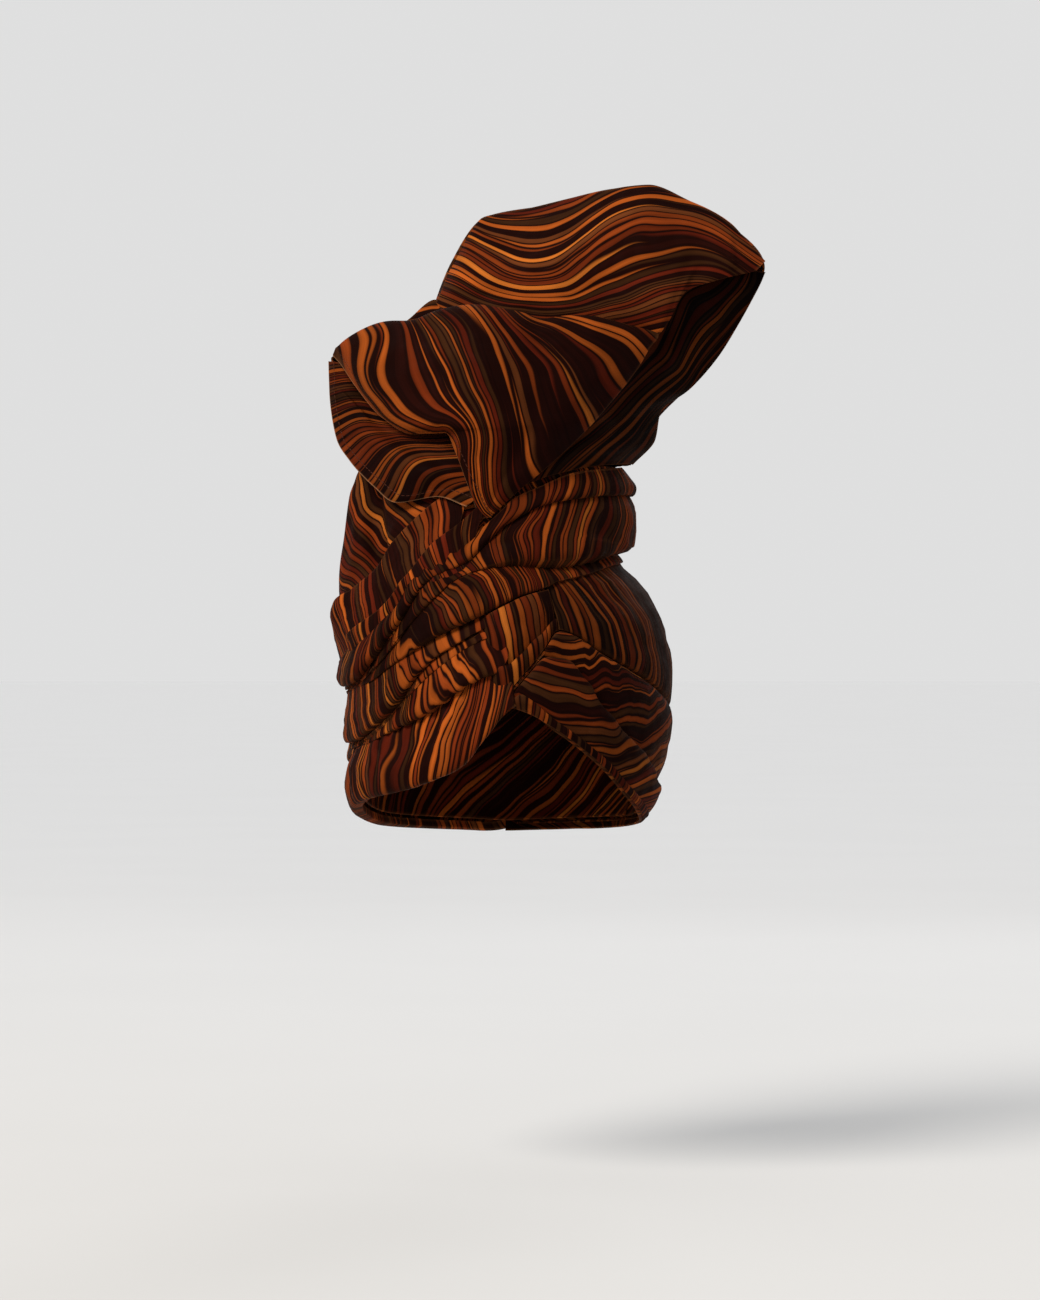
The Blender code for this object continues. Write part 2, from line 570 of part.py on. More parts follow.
def add_neck_bundle():
    """The bunched cloth in the neck. Its lobes meet the inside of the crown."""
    angles = np.arange(-180, 180, ANGLE_STEP)[:, None]
    height = (BUNDLE["height"] * TIE_RISE)[None, :] + 0 * angles
    flute = (1 - np.cos(np.radians(angles) * FLUTES)) / 2 * FLUTE_DEPTH
    inset = BUNDLE_GAP + BUNDLE["inset"][None, :] * HEAD_HALF_WIDTH + flute
    side = lifted(angles, height, np.minimum(crown_relief(angles, height), 0) - inset)
    side[..., 2] = height
    rows, columns = side.shape[:2]
    ends = np.stack([side[:, 0].mean(axis=0), side[:, -1].mean(axis=0) + (0, 0, BUNDLE_CAP)])
    points = np.concatenate([side.reshape(-1, 3), ends])
    number = np.arange(rows * columns).reshape(rows, columns)
    ring = np.concatenate([number, number[:1]])
    bottom, top = np.full(rows + 1, rows * columns), np.full(rows + 1, rows * columns + 1)
    low = np.stack([bottom[:-1], ring[1:, 0], ring[:-1, 0]], axis=-1)
    high = np.stack([top[:-1], ring[:-1, -1], ring[1:, -1]], axis=-1)
    add_object("neck_bundle", points, np.concatenate([skin_faces(rows, columns, True), low, high]))


def main():
    for old in list(bpy.data.objects):
        bpy.data.objects.remove(old)
    add_crown()
    add_brow_wraps()
    add_middle_wraps()
    add_diagonal_wrap()
    add_neck_bundle()
    add_tower_back()
    add_tower_sheets()


main()
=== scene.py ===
"""The look of the turban headwrap: every piece of its cloth as a thin folded sheet with its hems and print.

Metres, +Z up, the wearer faces -Y, and +X is the right side seen from the front. The origin is the top of
the wearer's head. An angle runs round the head in degrees: 0 is the brow, 90 is +X, and -90 is -X.
Places seen from the front are given as x and z in millimetres.
"""

import bpy
import numpy as np
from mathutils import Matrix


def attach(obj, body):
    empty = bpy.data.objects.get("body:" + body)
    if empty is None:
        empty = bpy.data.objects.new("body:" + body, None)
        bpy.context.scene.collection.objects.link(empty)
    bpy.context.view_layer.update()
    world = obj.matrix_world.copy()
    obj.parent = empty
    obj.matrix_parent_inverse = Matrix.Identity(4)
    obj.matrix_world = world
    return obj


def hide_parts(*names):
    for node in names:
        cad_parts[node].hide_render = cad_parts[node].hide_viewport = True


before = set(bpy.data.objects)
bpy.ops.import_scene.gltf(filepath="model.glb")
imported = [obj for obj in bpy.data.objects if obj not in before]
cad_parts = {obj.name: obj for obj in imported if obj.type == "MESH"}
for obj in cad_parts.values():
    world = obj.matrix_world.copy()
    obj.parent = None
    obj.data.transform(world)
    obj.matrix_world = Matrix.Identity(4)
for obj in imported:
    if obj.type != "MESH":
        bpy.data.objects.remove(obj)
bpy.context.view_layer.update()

MM = 0.001
# Driving dimensions. Lengths are in metres.
HEAD_HALF_WIDTH = 0.077
HEAD_HALF_LENGTH = 0.096
RIM_DROP = 0.140  # from the head's top down to the rim at the nape
TIE_RISE = 0.070  # from the head's top up to the top of the tie
TOWER_HEIGHT = 0.162  # from the top of the tie to the peak
TOWER_WIDTH = 0.249
TOWER_DEPTH = 0.120
WALL = 0.002  # layered cotton cloth
LAYER_GAP = 0.0008  # between a wrap and what it lies on
SEAM_GAP = 0.0006  # between two edges that meet
BUNDLE_GAP = 0.0012  # between the crown's inside and the bundle's lobes
WRAP_PUFF = 0.010  # how far a full pleat stands out
FOLD_DEPTH = 0.006  # a full fold in the crown
RIM_INSET = 0.005  # the crown's rim ends this far above the wraps' lower edge
FLUTE_DEPTH = 0.008  # between the gathers of the neck
FLUTES = 10
BACK_FOLDS = 9
ARCH_FULLNESS = 0.8  # under 1 a sheet's arch is fuller than a sine
END_PUFF = 0.3  # share of a wrap's puff that is left where it is tucked in
DRAPE_SKEW = 0.7
BACK_LEAN = (0.0, 1.0, 0.2)  # the way the tower's back leaves its outline
NECK_FLARE = 0.5  # outwards for each unit up, where the tower's back leaves the neck

# Where the wraps end, in degrees round the head.
KNOT_END = 21.9
RIGHT_START = 22.5  # of the right crown wrap
TIE_END = 246.0
# The steps round and up the form that its normal is taken over, in degrees and in metres.
TURN_PROBE = 1.0
RISE_PROBE = 0.002


def table(columns, *rows):
    """A table with named columns. Its first column holds the stations."""
    values = dict(zip(columns, np.array(rows, float).T))
    values["stations"] = values[columns[0]]
    return values


def along(rows, column, at):
    """A table's column at any station, on a smooth curve that doesn't overshoot its rows."""
    stations, values = rows["stations"], rows[column]
    run = np.diff(stations)
    slope = np.diff(values) / run
    tangent = np.zeros_like(values)
    tangent[0], tangent[-1] = slope[0], slope[-1]
    same_way = slope[:-1] * slope[1:] > 0
    mean = 2 * slope[:-1] * slope[1:] / np.where(same_way, slope[:-1] + slope[1:], 1)
    tangent[1:-1] = np.where(same_way, mean, 0)
    at = np.clip(np.asarray(at, float), stations[0], stations[-1])
    i = np.clip(np.searchsorted(stations, at, side="right") - 1, 0, len(run) - 1)
    t = (at - stations[i]) / run[i]
    rise = (3 - 2 * t) * t * t
    start = tangent[i] * run[i] * t * (1 - t) ** 2
    end = tangent[i + 1] * run[i] * t * t * (t - 1)
    return values[i] * (1 - rise) + values[i + 1] * rise + start + end


def height_of(level):
    """Height of a level: -1 is the nape's rim, 0 the head's top and 1 the top of the tie."""
    level = np.asarray(level, float)
    return level * np.where(level < 0, RIM_DROP, TIE_RISE)


# The form that the cloth is wound on, by level. Left and right are shares of HEAD_HALF_WIDTH, front and
# back of HEAD_HALF_LENGTH. It leans left above the head and narrows to the neck that the tie holds.
FORM = table(
    ("level", "left", "right", "front", "back"),
    (-1, -0.91, 0.91, -0.88, 0.92),
    (-0.86, -1.01, 1.01, -0.96, 1.02),
    (-0.68, -1.08, 1.08, -1.01, 1.07),
    (-0.46, -1.1, 1.1, -1.02, 1.1),
    (-0.29, -1.16, 1.09, -0.99, 1.09),
    (-0.14, -1.21, 1.05, -0.94, 1.04),
    (-0.04, -1.2, 0.98, -0.89, 0.98),
    (0.07, -1.18, 0.89, -0.84, 0.9),
    (0.2, -1.17, 0.8, -0.78, 0.81),
    (0.36, -1.15, 0.77, -0.71, 0.72),
    (0.64, -1.11, 0.85, -0.65, 0.64),
    (1, -1.02, 0.8, -0.6, 0.6),
)

# Soft folds of the crown's cloth between two places, each an angle and a level. A negative depth is a
# hollow. Half widths are shares of HEAD_HALF_WIDTH and depths shares of FOLD_DEPTH.
CROWN_FOLDS = (
    # angle, level, to angle, to level, half width, depth
    (-66, 0.9, -50, 0.3, 0.12, -1.2),
    (-50, 0.3, -62, 0.02, 0.12, -0.7),
    (-25, 0.65, -75, -0.1, 0.1, 0.5),
    (-14, 0.36, -31, 0.03, 0.1, 0.5),
    (-84, 0.9, -78, 0.1, 0.12, 0.4),
    (-108, 0.85, -104, -0.25, 0.12, -0.6),
    (-136, 0.85, -142, -0.2, 0.14, 0.7),
    (-160, 0.85, -172, -0.25, 0.12, -0.6),
)

# The two wraps at the brow, the left middle wrap and the diagonal wrap. Edges and folds are levels.
LEFT_BROW = table(
    ("angle", "bottom", "top", "puff"),
    (-178, -0.99, -0.75, 0.5),
    (-120, -0.95, -0.73, 0.7),
    (-90, -0.89, -0.69, 0.8),
    (-63, -0.83, -0.63, 0.8),
    (-39, -0.79, -0.55, 0.8),
    (-26, -0.75, -0.49, 0.7),
    (-15, -0.7, -0.41, 0.6),
    (-6, -0.58, -0.36, 0.5),
    (2, -0.47, -0.34, 0.3),
)
RIGHT_BROW = table(
    ("angle", "bottom", "fold", "top", "puff"),
    (3, -0.47, -0.42, -0.4, 0.3),
    (10, -0.5, -0.34, -0.32, 0.5),
    (16, -0.54, -0.28, -0.25, 0.6),
    (22, -0.58, -0.29, -0.18, 0.7),
    (37, -0.69, -0.48, -0.27, 0.7),
    (56, -0.82, -0.65, -0.36, 0.7),
    (80, -0.91, -0.77, -0.45, 0.7),
    (120, -0.96, -0.83, -0.54, 0.6),
    (178, -0.99, -0.86, -0.58, 0.5),
)
LEFT_MIDDLE = table(
    ("angle", "fold", "puff"),
    (-178, -0.61, 0.4),
    (-90, -0.56, 0.45),
    (-52, -0.51, 0.6),
    (-42, -0.46, 0.8),
    (-31, -0.38, 0.8),
    (-20, -0.31, 0.7),
    (-7, -0.23, 0.6),
    (2, -0.19, 0.4),
)
DIAGONAL = table(
    ("angle", "bottom", "low_fold", "high_fold", "top", "puff"),
    (-178, -0.47, -0.41, -0.36, -0.31, 0.3),
    (-90, -0.42, -0.38, -0.33, -0.29, 0.3),
    (-55, -0.37, -0.3, -0.25, -0.2, 0.5),
    (-37, -0.29, -0.2, -0.15, -0.09, 0.7),
    (-20, -0.2, -0.05, 0.05, 0.13, 0.9),
    (-5, -0.13, 0.07, 0.16, 0.26, 0.9),
    (5, -0.08, 0.12, 0.34, 0.49, 0.9),
    (11, -0.05, 0.13, 0.5, 0.64, 0.9),
    (23, -0.01, 0.12, 0.65, 0.76, 1),
    (40, 0.05, 0.14, 0.71, 0.87, 1),
    (65, 0.14, 0.23, 0.75, 0.95, 1),
    (90, 0.19, 0.29, 0.76, 0.98, 1.1),
    (150, 0.26, 0.37, 0.78, 0.98, 0.9),
    (205, 0.34, 0.43, 0.77, 0.94, 0.7),
    (228, 0.46, 0.53, 0.72, 0.84, 0.5),
    (246, 0.57, 0.61, 0.68, 0.73, 0.3),
)
# The right crown wrap hangs from the diagonal wrap's lower edge, and towards the back its top drops from
# there by a share of the way down to the right brow wrap.
RIGHT_CROWN = table(
    ("angle", "drop", "fold", "puff"),
    (22, 0, 0.45, 0.6),
    (60, 0, 0.4, 0.7),
    (110, 0, 0.4, 0.7),
    (140, 0.15, 0.42, 0.7),
    (160, 0.4, 0.45, 0.6),
    (178, 0.66, 0.5, 0.5),
)

# The outline of the tower seen from the front, from the left end of the tie over the peak to its right
# end. Across is a share of TOWER_WIDTH, up of TOWER_HEIGHT above the tie and deep of TOWER_DEPTH.
OUTLINE = table(
    ("station", "across", "up", "deep", "fullness"),
    (0, -0.32, 0.04, 0, 0.3),
    (0.05, -0.378, 0.1, -0.02, 0.3),
    (0.1, -0.396, 0.24, -0.06, 0.3),
    (0.15, -0.402, 0.38, -0.08, 0.32),
    (0.18, -0.365, 0.4, -0.06, 0.34),
    (0.25, -0.229, 0.51, -0.02, 0.36),
    (0.29, -0.167, 0.55, 0.02, 0.36),
    (0.31, -0.157, 0.6, 0.02, 0.36),
    (0.35, -0.126, 0.73, 0.02, 0.34),
    (0.41, -0.048, 0.89, 0.02, 0.34),
    (0.5, 0.124, 0.94, 0.02, 0.34),
    (0.58, 0.309, 1, 0, 0.28),
    (0.66, 0.474, 0.9, -0.04, 0.18),
    (0.69, 0.514, 0.86, -0.06, 0.15),
    (0.76, 0.598, 0.7, -0.1, 0.12),
    (0.81, 0.538, 0.51, -0.06, 0.16),
    (0.85, 0.492, 0.4, -0.04, 0.2),
    (0.89, 0.424, 0.28, -0.02, 0.24),
    (0.93, 0.357, 0.2, 0, 0.28),
    (0.96, 0.343, 0.11, 0.02, 0.3),
    (1, 0.297, 0.05, 0.02, 0.3),
)

# The loose sheets of the tower. Each runs across from one edge to the other at every station, and stands
# out to the front by its belly and up by its rise between them.
SHEET_COLUMNS = (
    "station", "from_across", "from_deep", "from_up", "to_across", "to_deep", "to_up", "belly", "rise",
)
CENTRE_DRAPE = table(
    SHEET_COLUMNS,
    (0, -0.053, -0.56, -0.193, -0.03, -0.56, -0.186, 0.01, 0),
    (0.12, -0.08, -0.57, -0.073, 0.025, -0.56, -0.105, 0.05, 0),
    (0.24, -0.108, -0.57, 0.039, 0.108, -0.54, 0.001, 0.11, 0),
    (0.36, -0.133, -0.54, 0.106, 0.183, -0.49, 0.113, 0.19, 0),
    (0.48, -0.206, -0.46, 0.106, 0.245, -0.43, 0.222, 0.27, 0.01),
    (0.6, -0.275, -0.37, 0.166, 0.3, -0.38, 0.331, 0.34, 0.02),
    (0.72, -0.334, -0.28, 0.272, 0.327, -0.35, 0.402, 0.37, 0.06),
    (0.84, -0.364, -0.2, 0.356, 0.346, -0.32, 0.441, 0.36, 0.1),
    (0.93, -0.355, -0.14, 0.377, 0.348, -0.31, 0.455, 0.28, 0.12),
    (1, -0.332, -0.08, 0.37, 0.343, -0.305, 0.452, 0.17, 0.1),
)
TOP_FAN = table(
    SHEET_COLUMNS,
    (0, -0.158, -0.04, 0.578, -0.134, 0.02, 0.676, 0.01, 0),
    (0.1, -0.125, -0.14, 0.52, -0.048, 0.02, 0.884, 0.08, 0),
    (0.22, -0.05, -0.2, 0.48, 0.04, 0.027, 0.91, 0.12, 0),
    (0.34, 0.03, -0.27, 0.47, 0.14, 0.01, 0.945, 0.12, 0),
    (0.46, 0.13, -0.3, 0.46, 0.24, 0, 0.98, 0.13, 0),
    (0.58, 0.235, -0.29, 0.455, 0.33, -0.01, 0.995, 0.13, 0),
    (0.7, 0.338, -0.275, 0.45, 0.424, -0.04, 0.935, 0.12, 0),
    (0.8, 0.371, -0.275, 0.5, 0.474, -0.06, 0.898, 0.08, 0),
    (0.87, 0.41, -0.24, 0.605, 0.515, -0.08, 0.855, 0.05, 0),
    (0.93, 0.48, -0.225, 0.645, 0.55, -0.1, 0.795, 0.03, 0),
    (1, 0.57, -0.185, 0.68, 0.593, -0.125, 0.718, 0.01, 0),
)
RIGHT_PANEL = table(
    SHEET_COLUMNS,
    (0, 0.007, -0.545, -0.126, 0.293, 0, 0.01, 0.19, 0.03),
    (0.12, 0.08, -0.535, -0.038, 0.344, 0, 0.096, 0.14, 0.02),
    (0.26, 0.153, -0.48, 0.068, 0.357, 0, 0.194, 0.06, 0),
    (0.44, 0.229, -0.415, 0.184, 0.424, -0.02, 0.276, 0, 0),
    (0.6, 0.293, -0.355, 0.307, 0.488, -0.04, 0.388, -0.03, 0),
    (0.75, 0.344, -0.27, 0.43, 0.534, -0.07, 0.502, -0.02, 0),
    (0.87, 0.389, -0.215, 0.553, 0.568, -0.1, 0.597, 0, 0),
    (0.94, 0.447, -0.185, 0.615, 0.584, -0.112, 0.645, 0, 0),
    (1, 0.545, -0.145, 0.64, 0.593, -0.12, 0.68, 0, 0),
)
LEFT_RUFFLE = table(
    SHEET_COLUMNS,
    (0, -0.4, -0.076, 0.37, -0.374, -0.15, 0.362, 0.01, 0),
    (0.14, -0.396, -0.12, 0.237, -0.314, -0.22, 0.225, 0.06, 0),
    (0.28, -0.38, -0.16, 0.096, -0.259, -0.28, 0.15, 0.1, 0),
    (0.42, -0.348, -0.26, 0.015, -0.195, -0.36, 0.1, 0.11, 0),
    (0.56, -0.295, -0.4, -0.073, -0.137, -0.45, 0.09, 0.1, 0),
    (0.7, -0.24, -0.49, -0.133, -0.115, -0.51, 0.032, 0.07, 0),
    (0.84, -0.153, -0.545, -0.115, -0.096, -0.55, -0.045, 0.02, 0),
    (1, -0.085, -0.565, -0.15, -0.076, -0.565, -0.115, 0.01, 0),
)

# Long soft folds of the centre drape, from its tip to its top edge. A place is a share of the way across,
# a spread is a share of the width, and a depth is a share of FOLD_DEPTH, negative for a hollow.
DRAPE_FOLDS = (
    # place, spread, depth
    (0.24, 0.06, -0.8),
    (0.42, 0.09, 0.4),
    (0.63, 0.07, -0.7),
    (0.83, 0.07, 0.3),
)

# The bunched cloth inside the neck, from the flat that sits on the head's top to its rounded top. Heights
# are shares of TIE_RISE and insets from the crown's inside are shares of HEAD_HALF_WIDTH.
BUNDLE = table(
    ("height", "inset"),
    (0, 0.42),
    (0.06, 0.24),
    (0.22, 0.06),
    (0.42, 0),
    (0.7, 0),
    (0.94, 0.06),
    (1.2, 0.22),
    (1.38, 0.5),
)


def tower_point(across, deep, up):
    """A point of the tower from its shares."""
    place = (across * TOWER_WIDTH, deep * TOWER_DEPTH, up * TOWER_HEIGHT + TIE_RISE)
    return np.stack(np.broadcast_arrays(*place), axis=-1)


def form_point(angle, height):
    """The form's surface at an angle and a height."""
    level = height / np.where(height < 0, RIM_DROP, TIE_RISE)
    left = along(FORM, "left", level) * HEAD_HALF_WIDTH
    right = along(FORM, "right", level) * HEAD_HALF_WIDTH
    front = along(FORM, "front", level) * HEAD_HALF_LENGTH
    back = along(FORM, "back", level) * HEAD_HALF_LENGTH
    turn = np.radians(angle)
    x = (left + right) / 2 + (right - left) / 2 * np.sin(turn)
    y = (front + back) / 2 - (back - front) / 2 * np.cos(turn)
    return np.stack([x, y, np.broadcast_to(height, x.shape)], axis=-1)


def unit(vectors):
    return vectors / np.linalg.norm(vectors, axis=-1, keepdims=True)


def lifted(angle, height, lift):
    """A point that stands off the form by a lift along the form's normal."""
    round_head = form_point(angle + TURN_PROBE, height) - form_point(angle - TURN_PROBE, height)
    upwards = form_point(angle, height + RISE_PROBE) - form_point(angle, height - RISE_PROBE)
    normal = unit(np.cross(round_head, upwards))
    return form_point(angle, height) + normal * np.asarray(lift)[..., None]


def crown_relief(angle, height):
    """How far the crown's folds stand off the form."""
    relief = np.zeros(np.broadcast(angle, height).shape)
    for angle_1, level_1, angle_2, level_2, half_width, depth in CROWN_FOLDS:
        start = np.array([np.radians(angle_1) * HEAD_HALF_WIDTH, height_of(level_1)])
        run = np.array([np.radians(angle_2) * HEAD_HALF_WIDTH, height_of(level_2)]) - start
        turned = (np.asarray(angle) + 180) % 360 - 180
        here = np.stack(np.broadcast_arrays(np.radians(turned) * HEAD_HALF_WIDTH, height), axis=-1)
        share = np.clip((here - start) @ run / (run @ run), 0, 1)
        distance = np.linalg.norm(here - start - share[..., None] * run, axis=-1)
        spread = half_width * HEAD_HALF_WIDTH
        relief = relief + depth * FOLD_DEPTH * np.exp(-((distance / spread) ** 2))
    return relief


def rim_height(angle):
    """The wraps' lower edge at any angle."""
    turned = (np.asarray(angle, float) + 180) % 360 - 180
    left = along(LEFT_BROW, "bottom", turned)
    right = along(RIGHT_BROW, "bottom", turned)
    return height_of(np.where(turned < 0, left, right))


# The cloth, and how finely it is modelled.
THICKNESS = 0.0011
TURN_STEP = 1.4  # degrees round the head
END_STEPS = (0.2, 0.45, 0.8, 1.2)  # degrees from an end, where the steps are closer
FACE_STEPS = 16  # across a pleat
SHEET_FINE = 110
TUCK = 0.0045  # how far a pleat reaches under its neighbour
HEM_WIDTH = 0.008
UNDER_LIFT = 0.0010
OVER_LIFT = 0.0022
FULL_PLEAT = 0.006  # a pleat of this width or more has all of its layers
EDGE_SHARE = 0.3  # of a narrow pleat, at most, that is tucked in or stands proud
ROLL_LIFT = 0.0007  # of a pleat's rolled edge
END_TURN = 7.0  # degrees over which a wrap flattens to its end
LAP_TURN = 6.0  # and over which it rises over, or sinks under, what crosses it
LEFT_LAP = 4.0  # where the left wraps end, over the right ones
LEFT_END_LIFT = 0.0024
END_ROLL = 1.3  # degrees over which such an end turns under itself
RIGHT_UNDER = -6.0  # where the right ones start, under them
LONG_WRINKLE = (0.0009, 0.060, 0.020)  # height, and length and width of a wave
SHORT_WRINKLE = (0.00045, 0.022, 0.009)
# Behind the head, the left wraps' ends lap over the right ones.
BACK_LAP = 4.0  # degrees that they reach over at the rim
BACK_LAP_LEAN = 120.0  # degrees per metre that the lap leans as it rises
BACK_LAP_LEAN_TURN = 34  # degrees over which it leans
BACK_LAP_LIFT = 0.0034
BACK_LAP_TURN = 14  # degrees over which it rises
BACK_UNDER_TURN = 22  # and over which the right wraps thin out below it
LOW_CORNER = 0.0038  # how far the lap's low corner is drawn up
FAR = 1.0  # a hem distance for cloth that has no hem near
GOLDEN_TURN = 2.4  # radians between the directions of summed waves


def ripple(x, y, seed=0.0):
    """Soft uneven waves from about -1 to 1. Places are in wave lengths."""
    total = 0.0
    for k in range(6):
        turn = 1.3 * seed + GOLDEN_TURN * k
        rate = 0.7 + 0.31 * k
        way = np.asarray(x) * np.cos(turn) + np.asarray(y) * np.sin(turn)
        total = total + np.sin(2 * np.pi * rate * way + 2.1 * seed + 1.9 * k) / (1 + 0.5 * k)
    return total / 2.4


def grid_normals(points):
    """The outward normals of a grid whose rows run round and columns run up, seen from outside."""
    return unit(np.cross(np.gradient(points, axis=0), np.gradient(points, axis=1)))


def run_lengths(points, axis):
    """Length along a grid's lines, from their start."""
    step = np.linalg.norm(np.diff(points, axis=axis), axis=-1)
    pad = [(1, 0), (0, 0)] if axis == 0 else [(0, 0), (1, 0)]
    return np.cumsum(np.pad(step, pad), axis=axis)


def smooth_step(x):
    x = np.clip(x, 0, 1)
    return x * x * (3 - 2 * x)


def line_distance(x, z, places):
    """The distance in millimetres to a line of places, 1 on the line's right and -1 on its left when it is
    walked along, and the share of the way along it."""
    best = np.full(x.shape, np.inf)
    side, way = np.ones(x.shape), np.zeros(x.shape)
    places = np.array(places, float)
    length = np.linalg.norm(np.diff(places, axis=0), axis=1)
    start = np.concatenate([[0], np.cumsum(length)]) / length.sum()
    for k, (a, b) in enumerate(zip(places[:-1], places[1:])):
        run = b - a
        share = np.clip(((x - a[0]) * run[0] + (z - a[1]) * run[1]) / (run @ run), 0, 1)
        gap_x, gap_z = x - a[0] - share * run[0], z - a[1] - share * run[1]
        distance = np.hypot(gap_x, gap_z)
        nearer = distance < best
        turn = run[1] * (x - a[0]) - run[0] * (z - a[1])
        side = np.where(nearer, np.where(turn >= 0, 1.0, -1.0), side)
        way = np.where(nearer, start[k] + share * (start[k + 1] - start[k]), way)
        best = np.where(nearer, distance, best)
    return best, side, way


def front_relief(points, folds):
    """Height of the folds that are seen from the front. A fold is a soft ridge, a hollow where its height
    is negative, or a lap, which is steep on its left and fades out on its right."""
    x, z = points[..., 0] / MM, points[..., 2] / MM
    relief = np.zeros(x.shape)
    for kind, width, height, *places in folds:
        distance, side, way = line_distance(x, z, places)
        ends = smooth_step(way / 0.15) * smooth_step((1 - way) / 0.15)
        if kind == "lap":
            shape = np.where(side > 0, np.exp(-distance / width), np.exp(-((distance / 0.7) ** 2)))
        else:
            shape = np.exp(-((distance / width) ** 2))
        relief = relief + height * MM * shape * ends
    return relief


def strand_map(points, strands):
    """Places on the flat cloth, from strands of the print that are seen from the front. Each strand has
    its place across the stripes in millimetres, where it starts along them, and the places that it runs
    through."""
    rows = []
    for across, first, *places in strands:
        places = np.array(places, float)
        run = first + np.concatenate([[0], np.cumsum(np.linalg.norm(np.diff(places, axis=0), axis=1))])
        rows += [(x, z, across, down) for (x, z), down in zip(places, run)]
    rows = np.array(rows)

    def plate(x, z):
        square = (x[..., None] - rows[:, 0]) ** 2 + (z[..., None] - rows[:, 1]) ** 2
        return square * np.log(square + 1.0) / 2

    size = len(rows)
    system = np.zeros((size + 3, size + 3))
    system[:size, :size] = plate(rows[:, 0], rows[:, 1]) + 60.0 * np.eye(size)
    system[:size, size:] = np.c_[np.ones(size), rows[:, :2]]
    system[size:, :size] = system[:size, size:].T
    weights = np.linalg.solve(system, np.vstack([rows[:, 2:], np.zeros((3, 2))]))
    x, z = points[..., 0] / MM, points[..., 2] / MM
    flat = plate(x, z) @ weights[:size] + np.stack([np.ones_like(x), x, z], axis=-1) @ weights[size:]
    return flat * MM


def shell_arrays(face, cloth, hem):
    """The points, faces and maps of one thin sheet."""
    rows, columns = face.shape[:2]
    inner = face - grid_normals(face) * THICKNESS
    points = np.concatenate([face.reshape(-1, 3), inner.reshape(-1, 3)])
    number = np.arange(rows * columns).reshape(rows, columns)
    under = number + rows * columns

    def quads(a, b, c, d):
        return np.stack([a, b, c, d], axis=-1).reshape(-1, 4)

    faces = [
        quads(number[:-1, :-1], number[1:, :-1], number[1:, 1:], number[:-1, 1:]),
        quads(under[:-1, :-1], under[:-1, 1:], under[1:, 1:], under[1:, :-1]),
        quads(under[:-1, 0], under[1:, 0], number[1:, 0], number[:-1, 0]),
        quads(number[:-1, -1], number[1:, -1], under[1:, -1], under[:-1, -1]),
        quads(number[0, :-1], number[0, 1:], under[0, 1:], under[0, :-1]),
        quads(under[-1, :-1], under[-1, 1:], number[-1, 1:], number[-1, :-1]),
    ]
    maps = [np.tile(np.reshape(m, (-1, 2)), (2, 1)) for m in (cloth, hem)]
    return points, np.concatenate(faces), maps


def no_hem(face):
    return np.full(face.shape[:2] + (2,), FAR)


# Every piece of cloth: the node that it replaces, its slot, and its print as a name, a seed, a sway and a
# brightness. The brightness is painted light and shade: the same print is made lighter on the pieces that
# face the lamp and darker on those that lie in shade, most of all the right panel and the right crown wrap.
# Then the estimated width and length of the part of the long cloth that it stands for, its area, which is the
# mesh's own one-sided area, rounded, how it is held and what it rests on.
PIECES = {
    "crown_cloth": (
        "crown", "crown_cloth", ("crown_print", 29.0, 0.020, 1.05),
        (0.22, 0.60), 0.118, "stretched", ["neck_bundle_cloth"],
    ),
    "left_brow_cloth": (
        "left_brow_wrap", "wrap_cloth", ("left_brow_print_painted_light", 3.0, 0.038, 1.15),
        (0.075, 0.28), 0.0155, "stretched", ["crown_cloth"],
    ),
    "left_middle_cloth": (
        "left_middle_wrap", "wrap_cloth", ("left_middle_print_painted_light", 7.0, 0.028, 1.1),
        (0.10, 0.29), 0.0240, "gathered", ["crown_cloth", "left_brow_cloth"],
    ),
    "right_brow_cloth": (
        "right_brow_wrap", "wrap_cloth", ("right_brow_print_painted_shade", 11.0, 0.020, 0.78),
        (0.12, 0.28), 0.0295, "stretched", ["crown_cloth"],
    ),
    "knot_cloth": (
        "knot_fold", "wrap_cloth", ("knot_print_painted_shade", 17.0, 0.012, 0.75),
        (0.06, 0.06), 0.0029, "folded", ["crown_cloth"],
    ),
    "right_crown_cloth": (
        "right_crown_wrap", "wrap_cloth", ("right_crown_print_painted_shade", 23.0, 0.034, 0.36),
        (0.11, 0.26), 0.0237, "stretched", ["crown_cloth"],
    ),
    "diagonal_cloth": (
        "diagonal_wrap", "wrap_cloth", ("diagonal_print_painted_shade", 5.0, 0.026, 0.74),
        (0.09, 0.57), 0.0452, "gathered", ["crown_cloth"],
    ),
    "tower_back_cloth": (
        "tower_back", "tower_cloth", ("tower_back_print_painted_shade", 31.0, 0.024, 0.95),
        (0.22, 0.26), 0.0458, "gathered", ["crown_cloth"],
    ),
    "neck_bundle_cloth": (
        "neck_bundle", "inner_cloth", ("bundle_print_painted_shade", 37.0, 0.02, 0.8),
        (0.14, 0.42), 0.0498, "gathered", ["crown_cloth"],
    ),
    "centre_drape_cloth": (
        "centre_drape", "tower_cloth", ("drape_print", 4.0, 0.013, 1.0),
        (0.15, 0.18), 0.0186, "draped", ["crown_cloth", "tower_back_cloth"],
    ),
    "top_fan_cloth": (
        "top_fan", "tower_cloth", ("fan_print_painted_light", 6.0, 0.011, 1.05),
        (0.13, 0.21), 0.0184, "folded", ["tower_back_cloth", "centre_drape_cloth"],
    ),
    "right_panel_cloth": (
        "right_panel", "tower_cloth", ("panel_print_painted_shade", 8.0, 0.010, 0.21),
        (0.09, 0.14), 0.0078, "draped", ["tower_back_cloth"],
    ),
    "left_ruffle_cloth": (
        "left_ruffle", "tower_cloth", ("ruffle_print_painted_shade", 9.0, 0.007, 0.60),
        (0.065, 0.125), 0.0055, "draped", ["tower_back_cloth", "crown_cloth"],
    ),
}


